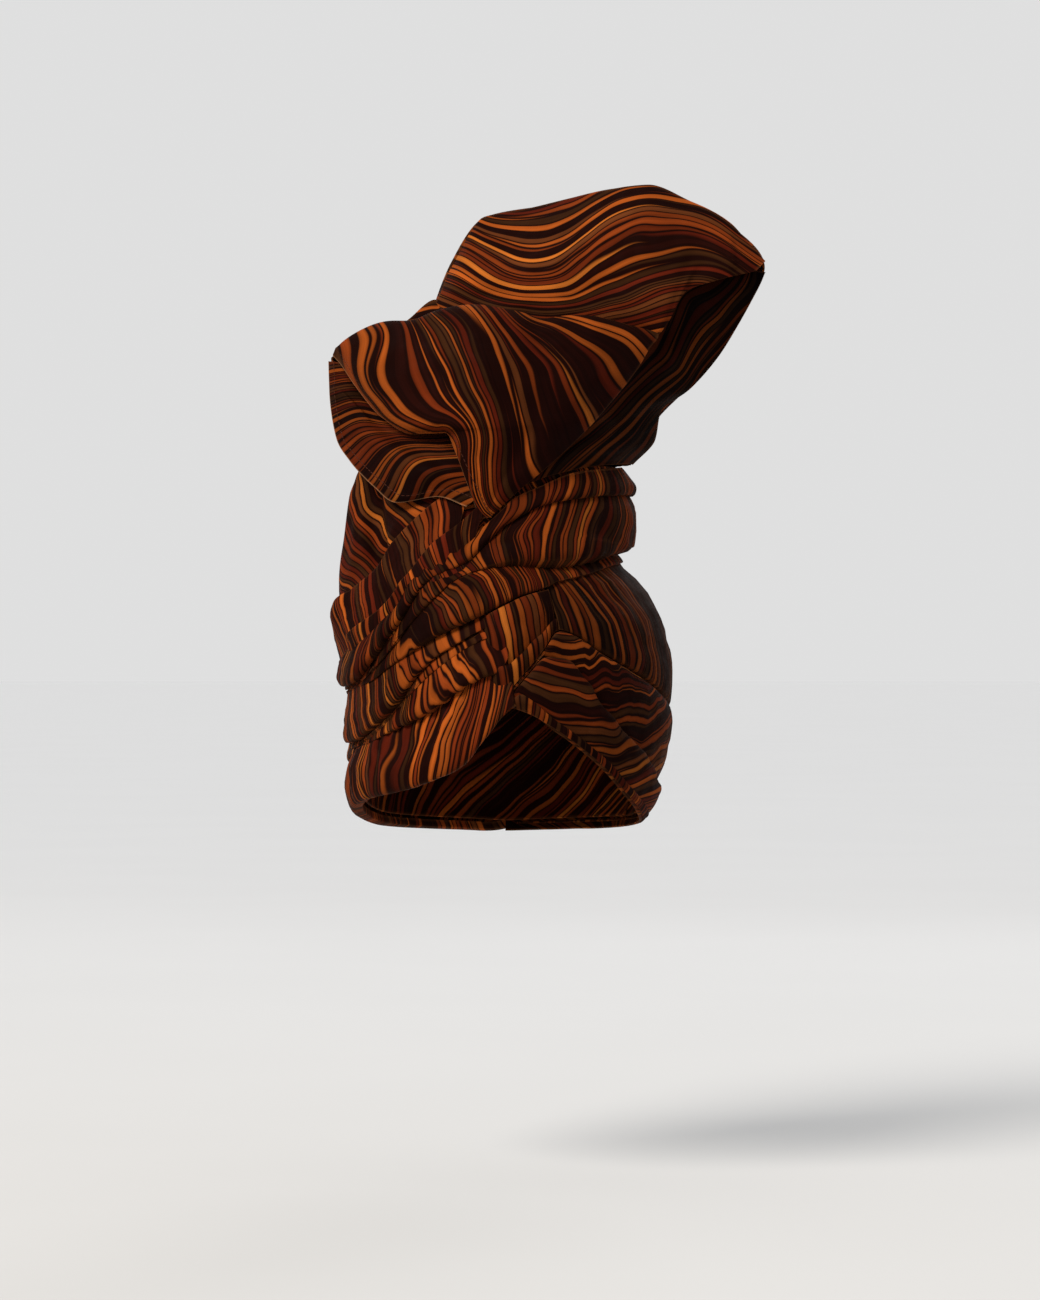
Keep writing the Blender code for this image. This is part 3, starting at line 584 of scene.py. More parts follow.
def add_cloth(name, *sheets):
    """One piece of cloth from one or more thin sheets, each a face, its flat map and its hem map."""
    node, slot, look, flat_size, area, held, rests_on = PIECES[name]
    material = print_material(*look)
    points, faces, layers, count = [], [], ([], []), 0
    for sheet in sheets:
        places, quads, maps = shell_arrays(*sheet)
        points.append(places)
        faces.append(quads + count)
        count += len(places)
        for layer, values in zip(layers, maps):
            layer.append(values)
    points, faces = np.concatenate(points), np.concatenate(faces)
    mesh = bpy.data.meshes.new(name)
    mesh.from_pydata(points.tolist(), [], faces.tolist())
    for layer, values in zip(("cloth", "hem"), layers):
        flat = np.concatenate(values)[faces.reshape(-1)]
        mesh.uv_layers.new(name=layer).data.foreach_set("uv", flat.astype(np.float32).reshape(-1))
    mesh.shade_smooth()
    mesh.set_sharp_from_angle(angle=np.radians(60))
    piece = bpy.data.objects.new(name, mesh)
    bpy.context.scene.collection.objects.link(piece)
    mesh.materials.append(material)
    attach(piece, "root")
    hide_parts(node)


# --- The printed cotton ---------------------------------------------------------------------------------

STRAND_WIDTH = 0.0037
STRAND_LENGTH = 0.20
STRAND_SHEAR = 0.618  # keeps the ends of neighbouring strands apart
# Dye colours of the strands, each from its share of the draw upwards.
DYES = (
    (0.00, (0.008, 0.0011, 0.0005)),
    (0.19, (0.026, 0.0080, 0.0022)),
    (0.31, (0.048, 0.0050, 0.0014)),
    (0.42, (0.090, 0.0125, 0.0022)),
    (0.55, (0.142, 0.0235, 0.0034)),
    (0.68, (0.205, 0.0415, 0.0052)),
    (0.87, (0.245, 0.0640, 0.0082)),
    (0.94, (0.064, 0.0165, 0.0040)),
)
LINE_DYE = (0.006, 0.0009, 0.0004)
WORN_DYE = (0.30, 0.10, 0.03, 1)  # where a fold is rubbed
THREAD_DYE = (0.05, 0.016, 0.01, 1)
# The hem's folded edge is drawn paler in this colour.
PALER_EDGE_TINT = (0.5, 0.25, 0.12, 1)
ZONE_SCALE = (0.09, 0.8, 1)  # of the zones that are lighter or darker as a whole, in strands
THREAD_PITCH = 0.00042
STITCH_PITCH = 0.0028


def make(tree, kind, values=(), **settings):
    """A shader node with its settings, and its inputs as values or as other nodes' outputs."""
    made = tree.nodes.new("ShaderNode" + kind)
    for key, value in settings.items():
        setattr(made, key, value)
    for key, value in dict(values).items():
        feed(made.inputs[key], value)
    return made


def feed(socket, value):
    """Gives an input a value or another node's output."""
    if isinstance(value, Signal):
        socket.id_data.links.new(value.socket, socket)
    else:
        socket.default_value = value


class Signal:
    """An output of a shader node. Arithmetic on it makes math nodes, so that a formula reads as one."""

    def __init__(self, node, output=0):
        self.socket = node.outputs[output]

    def into(self, kind, values, output=0, **settings):
        """An output of a new node in the same tree."""
        return Signal(make(self.socket.id_data, kind, values, **settings), output)

    def math(self, operation, *values, **settings):
        return self.into("Math", enumerate((self, *values)), operation=operation, **settings)

    def __add__(self, other):
        return self.math("ADD", other)

    __radd__ = __add__

    def __sub__(self, other):
        return self.math("SUBTRACT", other)

    def __mul__(self, other):
        return self.math("MULTIPLY", other)

    def __truediv__(self, other):
        return self.math("DIVIDE", other)


def between(value, low, high, to_low=0.0, to_high=1.0):
    """A value taken smoothly from one range to another."""
    inputs = {"Value": value, "From Min": low, "From Max": high, "To Min": to_low, "To Max": to_high}
    return value.into("MapRange", inputs, interpolation_type="SMOOTHSTEP")


def place_of(x, y, z=0.0):
    return x.into("CombineXYZ", {0: x, 1: y, 2: z})


def noise_of(place, scale, detail=1.0):
    return place.into("TexNoise", {"Vector": place, "Scale": scale, "Detail": detail})


def mixed(share, first, second, way="MIX"):
    """Two colours mixed. A mix node keeps its colours in its inputs 6 and 7 and its output 2."""
    return first.into("Mix", {0: share, 6: first, 7: second}, 2, data_type="RGBA", blend_type=way)


def shaded(colour, light):
    return mixed(1.0, colour, place_of(light, light, light), "MULTIPLY")


def bump(height, strength, distance, **under):
    """The normal of a surface with a height on it, over another normal where one is given."""
    return height.into("Bump", {"Height": height, "Strength": strength, "Distance": distance, **under})


def map_places(tree, layer):
    """The two coordinates of one of the cloth's maps."""
    parts = make(tree, "SeparateXYZ", {0: Signal(make(tree, "UVMap", uv_map=layer))})
    return Signal(parts, 0), Signal(parts, 1)


def swayed_print(across, down, seed, sway):
    """The flat map with the print's own waves in it: two sizes of drift across the strands."""
    wide = noise_of(place_of(across, down * 0.9, seed * 0.61), 7.0)
    close = noise_of(place_of(across, down, seed * 0.37 + 3.0), 26.0)
    return across + ((wide - 0.5) * (2.2 * sway) + (close - 0.5) * (0.55 * sway))


def strand_colour(tree, moved, down, seed):
    """Every strand in one dye, darker to its edges, with thin dark lines between the strands."""
    column = moved / STRAND_WIDTH
    row = column.math("MULTIPLY_ADD", STRAND_SHEAR, down / STRAND_LENGTH)
    cells = {"Vector": place_of(column, row + seed * 7.3), "Scale": 1.0, "Randomness": 0.66}
    strand = make(tree, "TexVoronoi", cells, voronoi_dimensions="2D")
    rim = column.into("TexVoronoi", cells, "Distance", voronoi_dimensions="2D", feature="DISTANCE_TO_EDGE")
    draws = make(tree, "SeparateColor", {0: Signal(strand, "Color")})
    centre = column.into("VectorMath", {0: Signal(strand, "Position"), 1: ZONE_SCALE}, operation="MULTIPLY")
    zone = between(noise_of(centre, 1.0), 0.3, 0.7, -0.17, 0.17)
    dye = Signal(draws, 0).math("MULTIPLY_ADD", 0.9, 0.04).math("ADD", zone, use_clamp=True)
    ramp = make(tree, "ValToRGB", {0: dye})
    ramp.color_ramp.interpolation = "CONSTANT"
    while len(ramp.color_ramp.elements) < len(DYES):
        ramp.color_ramp.elements.new(0.5)
    for element, (share, tone) in zip(ramp.color_ramp.elements, DYES):
        element.position = share
        element.color = (*tone, 1)
    streak = between(noise_of(place_of(moved * 900.0, down * 22.0), 1.0, 2.0), 0.3, 0.7, 0.84, 1.10)
    depth = between(Signal(draws, 1), 0.0, 1.0, 0.75, 1.2)
    body = between(rim, 0.03, 0.34, 0.66, 1.06)
    dyed = shaded(Signal(ramp), streak * depth * body)
    return mixed(between(rim, 0.05, 0.15, 1.0, 0.0), dyed, (*LINE_DYE, 1))


def weave_height(across, down):
    """Warp and weft threads, as a height from 0 to 1."""
    pitch = 2 * np.pi / THREAD_PITCH
    return ((across * pitch).math("SINE") * (down * pitch).math("SINE")).math("MULTIPLY_ADD", 0.5, 0.5)


def stitches(tree):
    """The hem's thread, in short dashes in a line along the edge, its crease and its fold, from 0 to 1."""
    run, inwards = map_places(tree, "hem")
    off_line = (inwards - HEM_WIDTH * 0.86).math("ABSOLUTE")
    on_line = between(off_line, 0.00018, 0.0004, 1.0, 0.0)
    dash = (run / STITCH_PITCH).math("FRACT")
    on_dash = between((dash - 0.5).math("ABSOLUTE"), 0.28, 0.38, 1.0, 0.0)
    crease = between(off_line, 0.0003, 0.0011)
    fold = between(inwards, 0.0, 0.0012, 1.0, 0.0)
    return on_line * on_dash, crease, fold


def print_material(name, seed, sway, painted_light_and_shade):
    """Printed cotton: wavy strands of dye on a plain weave, slightly faded and worn along its folds. Its
    brightness is painted light and shade.
    """
    material = bpy.data.materials.new(name)
    material.use_nodes = True
    tree = material.node_tree
    surface = tree.nodes["Principled BSDF"].inputs
    across, down = map_places(tree, "cloth")
    moved = swayed_print(across, down, seed, sway)
    colour = strand_colour(tree, moved, down, seed)
    place = place_of(across, down, seed)
    # Uneven fading of the dye, times the piece's brightness, which is painted light and shade.
    fade_and_painted_light_and_shade = between(noise_of(place, 24.0, 3.0), 0.3, 0.7, 0.82 * painted_light_and_shade, 1.12 * painted_light_and_shade)
    colour = shaded(colour, fade_and_painted_light_and_shade)
    ridge = Signal(make(tree, "NewGeometry"), "Pointiness")
    colour = mixed(between(ridge, 0.52, 0.60, 0.0, 0.10), colour, WORN_DYE)
    thread, crease, fold = stitches(tree)
    colour = mixed(thread * 0.8, colour, THREAD_DYE)
    # Paler along the hem's folded edge.
    colour = mixed(fold * 0.25, colour, PALER_EDGE_TINT)
    fine = bump(weave_height(across, down), 0.25, 0.00012)
    soft = bump(noise_of(place, 70.0, 3.0), 0.5, 0.0011, Normal=fine)
    sewn = bump(crease * 0.35 + thread, 0.8, 0.0006, Normal=soft)
    feed(surface["Base Color"], colour)
    feed(surface["Roughness"], between(noise_of(place, 140.0, 2.0), 0.25, 0.75, 0.66, 0.84))
    feed(surface["Normal"], sewn)
    surface["Metallic"].default_value = 0.0
    surface["Specular IOR Level"].default_value = 0.02
    surface["Sheen Weight"].default_value = 0.012
    surface["Sheen Roughness"].default_value = 0.45
    surface["Sheen Tint"].default_value = (1.0, 0.38, 0.14, 1)
    return material


# --- The wraps ------------------------------------------------------------------------------------------


def turns(start, end):
    """Angles round the head, closer together at both ends."""
    steps = np.linspace(start, end, int(np.ceil((end - start) / TURN_STEP)) + 1)
    near = np.array(END_STEPS)
    return np.unique(np.round(np.concatenate([steps, start + near, end - near]), 3))


def pleat_path(edges, puff, laps_up, last_rolls):
    """Heights and lifts across a wrap, from edge to edge. Where the wrap laps up, every pleat's lower edge
    is a fold that lies over the pleat below it; otherwise its upper edge lies over the pleat above."""
    if not laps_up:
        edges = edges[::-1]
    heights, lifts = [], []
    for pleat, (low, high) in enumerate(zip(edges[:-1], edges[1:])):
        way = np.sign(np.mean(high - low))
        size = np.abs(high - low)
        full = np.minimum(size / FULL_PLEAT, 1.0)
        over = UNDER_LIFT + (OVER_LIFT - UNDER_LIFT) * full
        rolls = last_rolls and pleat == len(edges) - 2
        back = np.minimum(TUCK, EDGE_SHARE * size)
        reach = high if rolls else high + way * back
        proud = np.minimum(puff * WRAP_PUFF, EDGE_SHARE * size)
        for share, lift in ((0.9, 0.0), (0.5, 0.15), (0.15, 0.45)):
            heights.append(low + way * back * share)
            lifts.append(UNDER_LIFT * (0.9 + lift * full))
        heights.append(low + way * 0.0003)
        lifts.append(UNDER_LIFT + ROLL_LIFT * full)
        end = over if rolls else UNDER_LIFT * 0.4
        for t in np.linspace(0, 1, FACE_STEPS + 1)[1:]:
            arch = np.sin(np.pi * t**0.75) ** (0.5 + 0.45 * t)
            heights.append(low + (reach - low) * t**1.45 if t < 1 else reach)
            lifts.append(over * (1 - t) + end * t + proud * arch)
        if rolls:
            heights.append(high - way * 0.6 * back)
            lifts.append(UNDER_LIFT + 0 * low)
    heights, lifts = np.stack(heights, axis=1), np.stack(lifts, axis=1)
    return (heights, lifts) if laps_up else (heights[:, ::-1], lifts[:, ::-1])


def back_lap(angle, height, lift, from_start):
    """A left wrap's end behind the head. It leans over the right wraps, and its low corner is drawn up."""
    above_rim = height - rim_height(180.0)
    lean = BACK_LAP + BACK_LAP_LEAN * above_rim + 1.2 * np.sin(height / 0.011)
    angle = angle - lean * (1 - smooth_step(from_start / BACK_LAP_LEAN_TURN))[:, None]
    lift = lift + BACK_LAP_LIFT * (1 - smooth_step((angle + 180) / BACK_LAP_TURN))
    low_part = 1 - smooth_step(above_rim / 0.025)
    return angle, height + LOW_CORNER * low_part * (1 - smooth_step((angle + 184) / 16)), lift


def wrap_face(
    angles, edges, puff, laps_up=True, last_rolls=False, wobble=0.0012, gathers=(), seed=1.0,
    start_lift=0.0, end_lift=0.0, base=0.0, back=None,
):
    """A wrap's face, with soft tension wrinkles along it and short gathers where it is drawn in. It ends
    behind the head over the other wraps, under them, or neither."""
    from_start, to_end = angles - angles[0], angles[-1] - angles
    ends = smooth_step(from_start / END_TURN) * smooth_step(to_end / END_TURN)
    edges = [
        line + wobble * ends * ripple(angles / 47, k * 1.7, seed + k) * (0 < k < len(edges) - 1)
        for k, line in enumerate(edges)
    ]
    puff = puff * (END_PUFF + (1 - END_PUFF) * ends)
    height, lift = pleat_path(edges, puff, laps_up, last_rolls)
    if start_lift < 0:
        lift = lift * (1 + start_lift * (1 - smooth_step(from_start / LAP_TURN)))[:, None]
    lift = lift + end_lift * smooth_step(1 - to_end / LAP_TURN)[:, None]
    if end_lift > 0:
        rolled = np.clip(1 - to_end / END_ROLL, 0, 1)
        lift = lift * np.sqrt(1.02 - rolled**2)[:, None]
    angle = np.broadcast_to(angles[:, None], height.shape)
    if back == "over":
        angle, height, lift = back_lap(angle, height, lift, from_start)
    if back == "under":
        lift = lift * (1 - 0.5 * smooth_step(1 - to_end / BACK_UNDER_TURN))[:, None]
    floor = crown_relief(angle, height) + WALL + LAYER_GAP
    face = lifted(angle, height, floor + lift + base)
    size = (edges[-1] - edges[0])[:, None]
    share = np.clip((height - edges[0][:, None]) / size, 0, 1)
    middle = np.sin(np.pi * np.clip(share, 0.03, 0.97))
    along_wrap = np.radians(angle) * HEAD_HALF_LENGTH
    relief = 0
    wrinkles = ((LONG_WRINKLE, np.minimum(size / 0.04, 1.0), seed), (SHORT_WRINKLE, 1, seed + 4))
    for (tall, long, wide), slack, draw in wrinkles:
        relief = relief + tall * slack * middle * ripple(along_wrap / long, height / wide, draw)
    for first, last, at, reach, wave, tall in gathers:
        here = smooth_step((angle - first) / 6) * smooth_step((last - angle) / 6)
        near = np.exp(-((np.abs(share - at) * size / (reach * MM)) ** 1.5))
        relief = relief + tall * MM * here * near * np.sin(2 * np.pi * along_wrap / (wave * MM) + 2 * share)
    return face + grid_normals(face) * relief[..., None]


def wrap_maps(face, angles, lean, pivot):
    """A wrap's flat map. The strands run across the wrap and lean back by degrees that are given at angles
    round the head, and they turn at a share of the way up."""
    round_head = run_lengths(face, 0)
    run = round_head[:, face.shape[1] // 2]
    up = run_lengths(face, 1)
    lean = np.radians(np.interp(angles, *np.array(lean, float).T))
    step = np.diff(run, prepend=0)
    pivot = np.interp(angles, *np.array(pivot, float).T)[:, None] * up[:, -1:]
    across = np.cumsum(np.cos(lean) * step)[:, None] + (up - pivot) * np.sin(lean)[:, None]
    down = up * np.cos(lean)[:, None] - np.cumsum(np.sin(lean) * step)[:, None]
    return np.stack([across, down], axis=-1)


def edge(rows, column, angles, gap=0.0):
    return height_of(along(rows, column, angles)) + gap


def wrap_sheet(angles, edges, puff, lean=((0, 0),), pivot=((0, 0),), rounded=0.0, **shape):
    """A wrap's face with its maps. Its far end can be rounded off over some degrees."""
    if rounded > 0:
        gone = np.clip(1 - (angles[-1] - angles) / rounded, 0, 1)
        middle = (edges[0] + edges[-1]) / 2
        edges = [middle + (line - middle) * np.sqrt(1 - 0.97 * gone**2) for line in edges]
    face = wrap_face(angles, edges, puff, **shape)
    return face, wrap_maps(face, angles, lean, pivot), no_hem(face)


def smoothed_side(angles):
    """How much of a pleat is left where the cloth is drawn smooth over the left side."""
    return 1 - 0.82 * np.exp(-(((angles + 70) / 27) ** 2))


def left_middle_edges(left):
    """The left middle wrap's pleat lines. They run out towards the side."""
    low, fold = edge(LEFT_BROW, "top", left, SEAM_GAP / 2), edge(LEFT_MIDDLE, "fold", left)
    high = edge(DIAGONAL, "bottom", left, -SEAM_GAP / 2)
    fold = low + (fold - low) * smoothed_side(left)
    share = 0.05 + 0.42 * smooth_step((left + 50) / 34)
    return [low, fold, fold + (high - fold) * share, high]


def right_brow_edges(right):
    """The right brow wrap's pleat lines over its hem, and the rolled hem's own two edges."""
    low = edge(RIGHT_BROW, "bottom", right)
    fold, high = edge(RIGHT_BROW, "fold", right), edge(RIGHT_BROW, "top", right, -SEAM_GAP / 2)
    roll = np.minimum(0.0048 + 0.0045 * smooth_step((20 - right) / 16), 0.7 * (fold - low))
    return [low + 0.7 * roll, fold, high], [low, low + roll]


def add_left_wraps():
    left = turns(-180.0, LEFT_LAP)
    ends = {"end_lift": LEFT_END_LIFT, "back": "over"}
    low, high = edge(LEFT_BROW, "bottom", left), edge(LEFT_BROW, "top", left, -SEAM_GAP / 2)
    gathers = ((-56, -8, 0.92, 8, 9, 1.0), (-38, 2, 0.55, 14, 12, 0.7), (-80, -40, 0.5, 12, 13, 0.6))
    lean = ((-90, 8), (-55, 0), (-22, -24), (-4, -32))
    puff = along(LEFT_BROW, "puff", left) * 0.9
    add_cloth("left_brow_cloth", wrap_sheet(left, [low, high], puff, lean, gathers=gathers, seed=2.0, **ends))
    gathers = ((-48, -6, 0.04, 7, 9, 0.7),)
    lean = ((-90, 16), (-30, 10), (-8, -6))
    lines, puff = left_middle_edges(left), along(LEFT_MIDDLE, "puff", left) * 0.85
    middle = wrap_sheet(left, lines, puff, lean, rounded=7.0, gathers=gathers, seed=3.0, **ends)
    add_cloth("left_middle_cloth", middle)


def add_right_wraps():
    right = turns(RIGHT_UNDER, 180.0)
    main, roll = right_brow_edges(right)
    puff = along(RIGHT_BROW, "puff", right)
    lapped = {"laps_up": False, "back": "under"}
    brow = wrap_sheet(right, main, puff, ((10, -72), (90, -60)), start_lift=-0.75, seed=5.0, **lapped)
    hem = wrap_sheet(right, roll, 0.42 + 0 * puff, last_rolls=True, start_lift=-0.6, seed=6.0, **lapped)
    add_cloth("right_brow_cloth", brow, hem)
    knot = turns(RIGHT_UNDER, KNOT_END)
    low, high = edge(RIGHT_BROW, "top", knot, SEAM_GAP / 2), edge(DIAGONAL, "bottom", knot, -SEAM_GAP / 2)
    lines, puff = [low, low + 0.30 * (high - low), high], 0.55 + 0 * knot
    shape = {"laps_up": False, "last_rolls": True, "wobble": 0.0006}
    add_cloth("knot_cloth", wrap_sheet(knot, lines, puff, start_lift=-0.75, seed=7.0, **shape))
    angles = turns(RIGHT_START, 180.0)
    low = edge(RIGHT_BROW, "top", angles, SEAM_GAP / 2)
    high = edge(DIAGONAL, "bottom", angles, -SEAM_GAP / 2)
    high = high + (low - high) * along(RIGHT_CROWN, "drop", angles)
    gathers = ((24, 60, 0.9, 12, 11, 0.7), (90, 176, 0.5, 18, 17, 0.8))
    puff = along(RIGHT_CROWN, "puff", angles)
    over = wrap_sheet(angles, [low, high], puff, ((20, 4), (90, -4)), gathers=gathers, back="under", seed=9.0)
    add_cloth("right_crown_cloth", over)


def add_diagonal_cloth():
    tie = turns(-180.0, TIE_END)
    levels = [edge(DIAGONAL, column, tie) for column in ("bottom", "low_fold", "high_fold", "top")]
    levels[0] = levels[0] + SEAM_GAP / 2
    levels[1:3] = [levels[0] + (line - levels[0]) * smoothed_side(tie) for line in levels[1:3]]
    levels[-1] = levels[-1] + 0.0008
    for tall, at, spread in ((0.005, 2, 14), (0.0032, 34, 20)):
        levels[-1] = levels[-1] + tall * np.exp(-(((tie - at) / spread) ** 2))
    climbing = wrap_sheet(
        tie,
        levels,
        along(DIAGONAL, "puff", tie),
        lean=((-75, -30), (-48, -38), (-30, 19), (-12, 23), (15, 2), (45, -22), (100, -10)),
        pivot=((-39, 0), (-33, 0.7)),
        last_rolls=True,
        gathers=((-30, -4, 0.93, 8, 9, 0.7), (10, 60, 0.12, 6, 12, 0.5)),
        wobble=0.0008,
        back="over",
        seed=11.0,
    )
    add_cloth("diagonal_cloth", climbing)


# --- The crown, the tower's back and the bundle ---------------------------------------------------------

CROWN_ENDS = (-245, 125)  # degrees round the head; the second end lies over the first
CROWN_LAP_START = 105
CROWN_LAP_LIFT = 0.0014
CROWN_TILT = -48  # degrees that its strands are turned on the flat cloth
TOWER_MIDDLE = (0.025, 0.0, 0.15)
RIM_PULL = 0.0014  # how far the back's rim is drawn in towards the tower's middle
NECK_GATHERS = 23  # of the tower's back
NECK_GATHER_DEPTH = 0.0013
BACK_WAVE = 0.0022
BUNDLE_SLACK = 0.004  # between the bundle's solid and its cloth
BUNDLE_WAVE = 0.0012
CROWN_CREASES = (
    # kind, width, height, places, all seen from the front
    ("ridge", 4, 1.4, (-84, 62), (-83, 30), (-88, 0)),
    ("ridge", 5, -3.6, (-76, 62), (-73, 34), (-72, 6), (-77, -2)),
    ("ridge", 3, 0.8, (-66, 60), (-60, 46)),
)
# Pleats of the crown's cloth beside the diagonal wrap: the height of their free edge, in millimetres.
LOW_PLEAT = table(
    ("angle", "edge"), (-100, -30), (-88, -14), (-70, -4), (-49, 9), (-33, 30), (-23, 45), (-14, 56), (-8, 60)
)
HIGH_PLEAT = table(("angle", "edge"), (-66, -26), (-45, -14), (-30, 4), (-14, 26), (-6, 40), (0, 52))


def crown_pleat(edges, start, end, puff, rise, lean, seed):
    """A pleat that lies on the crown, from under the diagonal wrap up to its free rolled edge."""
    angles = turns(start, end)
    low = edge(DIAGONAL, "top", angles, -0.009)
    high = np.maximum(along(edges, "edge", angles) * MM, low + 0.004)
    base = (rise + 0.0008) * smooth_step((high - low - 0.010) / 0.010)[:, None] - 0.0008
    shape = {"laps_up": False, "base": base, "seed": seed}
    return wrap_sheet(angles, [low, high], puff + 0 * angles, ((0, lean),), **shape)


def flat_map(face, column, tilt=0.0):
    """A flat map by the length round a face at one of its columns, and by the length up it."""
    run, up = run_lengths(face, 0)[:, column : column + 1], run_lengths(face, 1)
    tilt = np.radians(tilt)
    return np.stack([run * np.cos(tilt) - up * np.sin(tilt), run * np.sin(tilt) + up * np.cos(tilt)], axis=-1)


def add_crown_cloth():
    """The cloth over the head. Its two ends lap under the wraps, on the right side behind the ear."""
    angles = np.linspace(*CROWN_ENDS, 247)[:, None]
    turned = (angles + 180) % 360 - 180
    lap = CROWN_LAP_LIFT * smooth_step((angles - CROWN_LAP_START) / 8)
    low = rim_height(angles) + RIM_INSET
    height = low + (TIE_RISE - 0.0006 - low) * np.linspace(0, 1, 120)[None, :]
    face = lifted(angles, height, crown_relief(angles, height) + WALL + lap)
    around = np.radians(angles) * HEAD_HALF_LENGTH
    wrap_top = height_of(along(DIAGONAL, "top", turned))
    open_part = smooth_step((height - wrap_top - 0.001) / 0.008)
    small = 0.0006 * ripple(around / 0.05, height / 0.07, 3.0)
    creases = front_relief(face, CROWN_CREASES) * (face[..., 1] < 0)
    face = face + grid_normals(face) * ((small + creases) * open_part)[..., None]
    low_pleat = crown_pleat(LOW_PLEAT, -98.0, -9.0, 0.10, 0.0, 14, 13.0)
    high_pleat = crown_pleat(HIGH_PLEAT, -64.0, -1.0, 0.12, 0.0018, 8, 14.0)
    add_cloth("crown_cloth", (face, flat_map(face, 60, CROWN_TILT), no_hem(face)), low_pleat, high_pleat)


def add_back_cloth():
    """The back of the tower, gathered into the neck by folds of uneven width."""
    stations = np.linspace(1, 0, 321)
    shares = np.linspace(1, 0, 90)
    deep = along(OUTLINE, "deep", stations)
    rim = tower_point(along(OUTLINE, "across", stations), deep, along(OUTLINE, "up", stations))
    rim[:, 1] += THICKNESS
    rim = rim + unit((np.array(TOWER_MIDDLE) - rim) * (1, 0, 1)) * RIM_PULL
    angle = -90 - 180 * stations
    relief = crown_relief(angle, TIE_RISE)
    neck = lifted(angle, np.full(len(stations), TIE_RISE + 0.0004), relief + WALL + 0.0008)
    reach = np.linalg.norm(neck - rim, axis=1)[:, None] * along(OUTLINE, "fullness", stations)[:, None]
    behind = rim + reach * unit(np.array(BACK_LEAN))
    above = neck + reach * unit(unit(neck * (1, 1, 0)) * NECK_FLARE + (0, 0, 1))
    t = shares[None, :, None]
    corners = [rim[:, None], behind[:, None], above[:, None], neck[:, None]]
    weights = [(1 - t) ** 3, 3 * t * (1 - t) ** 2, 3 * t * t * (1 - t), t**3]
    face = sum(corner * weight for corner, weight in zip(corners, weights))
    t, s = shares[None, :], stations[:, None]
    fold = np.cos(2 * np.pi * BACK_FOLDS * s) * np.sin(np.pi * t) * t * FLUTE_DEPTH
    uneven = s + 0.012 * ripple(s * 3, t, 5.0)
    fine = np.sin(2 * np.pi * NECK_GATHERS * uneven) * NECK_GATHER_DEPTH
    fine = fine * smooth_step((t - 0.45) / 0.5) * smooth_step((1 - t) / 0.06)
    soft = BACK_WAVE * ripple(s * 4, t * 1.3, 8.0) * np.sin(np.pi * t)
    face = face + grid_normals(face) * (fold + fine + soft)[..., None]
    add_cloth("tower_back_cloth", (face, flat_map(face, 30), no_hem(face)))


def add_bundle_cloth():
    """The bunched cloth inside the neck, drawn in to deep flutes, flat where it sits on the head."""
    angles = np.linspace(-180, 180, 241)[:, None]
    place = np.linspace(0, 1, len(BUNDLE["height"]))
    t = np.linspace(0, 1, 60)
    level, inset = np.interp(t, place, BUNDLE["height"]), np.interp(t, place, BUNDLE["inset"])
    height = (level * TIE_RISE)[None, :] + 0 * angles
    flute = (1 - np.cos(np.radians(angles) * FLUTES)) / 2 * FLUTE_DEPTH
    side_in = BUNDLE_GAP + inset[None, :] * HEAD_HALF_WIDTH + flute
    side_in = side_in + BUNDLE_SLACK + BUNDLE_WAVE * (1 + ripple(angles / 30, height / 0.03, 6.0))
    side = lifted(angles, height, np.minimum(crown_relief(angles, height), 0) - side_in)
    side[..., 2] = height
    centre = side.mean(axis=0, keepdims=True)
    inwards = np.linspace(0.05, 0.9, 10)
    low = [centre[:, :1] * (1 - k) + side[:, :1] * k for k in inwards]
    top = [centre[:, -1:] * (1 - k) + side[:, -1:] * k + (0, 0, 0.004 * (1 - k)) for k in inwards[::-1]]
    face = np.concatenate([*low, side, *top], axis=1)
    add_cloth("neck_bundle_cloth", (face, flat_map(face, 40), no_hem(face)))


# --- The tower's loose sheets ---------------------------------------------------------------------------


def sheet_points(rows, along_steps, across_steps, skew=1.0):
    """The face of a loose sheet, by station and by share of the way across it."""
    station = np.linspace(0, 1, along_steps + 1)[:, None]
    share = np.linspace(0, 1, across_steps + 1)[None, :]
    across, deep, up = (
        along(rows, "from_" + way, station) * (1 - share) + along(rows, "to_" + way, station) * share
        for way in ("across", "deep", "up")
    )
    arch = np.sin(np.pi * share**skew) ** ARCH_FULLNESS
    deep = deep - along(rows, "belly", station) * arch
    return tower_point(across, deep, up + along(rows, "rise", station) * arch)


def shifted(rows, edge_name, start, full, across, deep, up):
    """A loose sheet with one edge moved from a station on, to reach under or up to its neighbour."""
    share = smooth_step((rows["station"] - start) / (full - start))
    moved = dict(rows)
    for way, by in (("across", across), ("deep", deep), ("up", up)):
        moved[edge_name + way] = rows[edge_name + way] + by * share
    return moved


def hollow_sheet(upper, lower, sag):
    """The cloth in the hollow between two lines. It sags by a share of its width."""
    share = np.linspace(0, 1, 25)[None, :, None]
    face = lower[:, None] * (1 - share) + upper[:, None] * share
    width = np.linalg.norm(upper - lower, axis=1)[:, None, None]
    return face - np.array((0, 0, 1)) * width * sag * np.sin(np.pi * share)


def drape_folds(share):
    """How far the long folds stand off the centre drape at a share of the way across."""
    place, spread, depth = np.array(DRAPE_FOLDS).T
    return (depth * FOLD_DEPTH * np.exp(-(((share[:, None] - place) / spread) ** 2))).sum(axis=1)


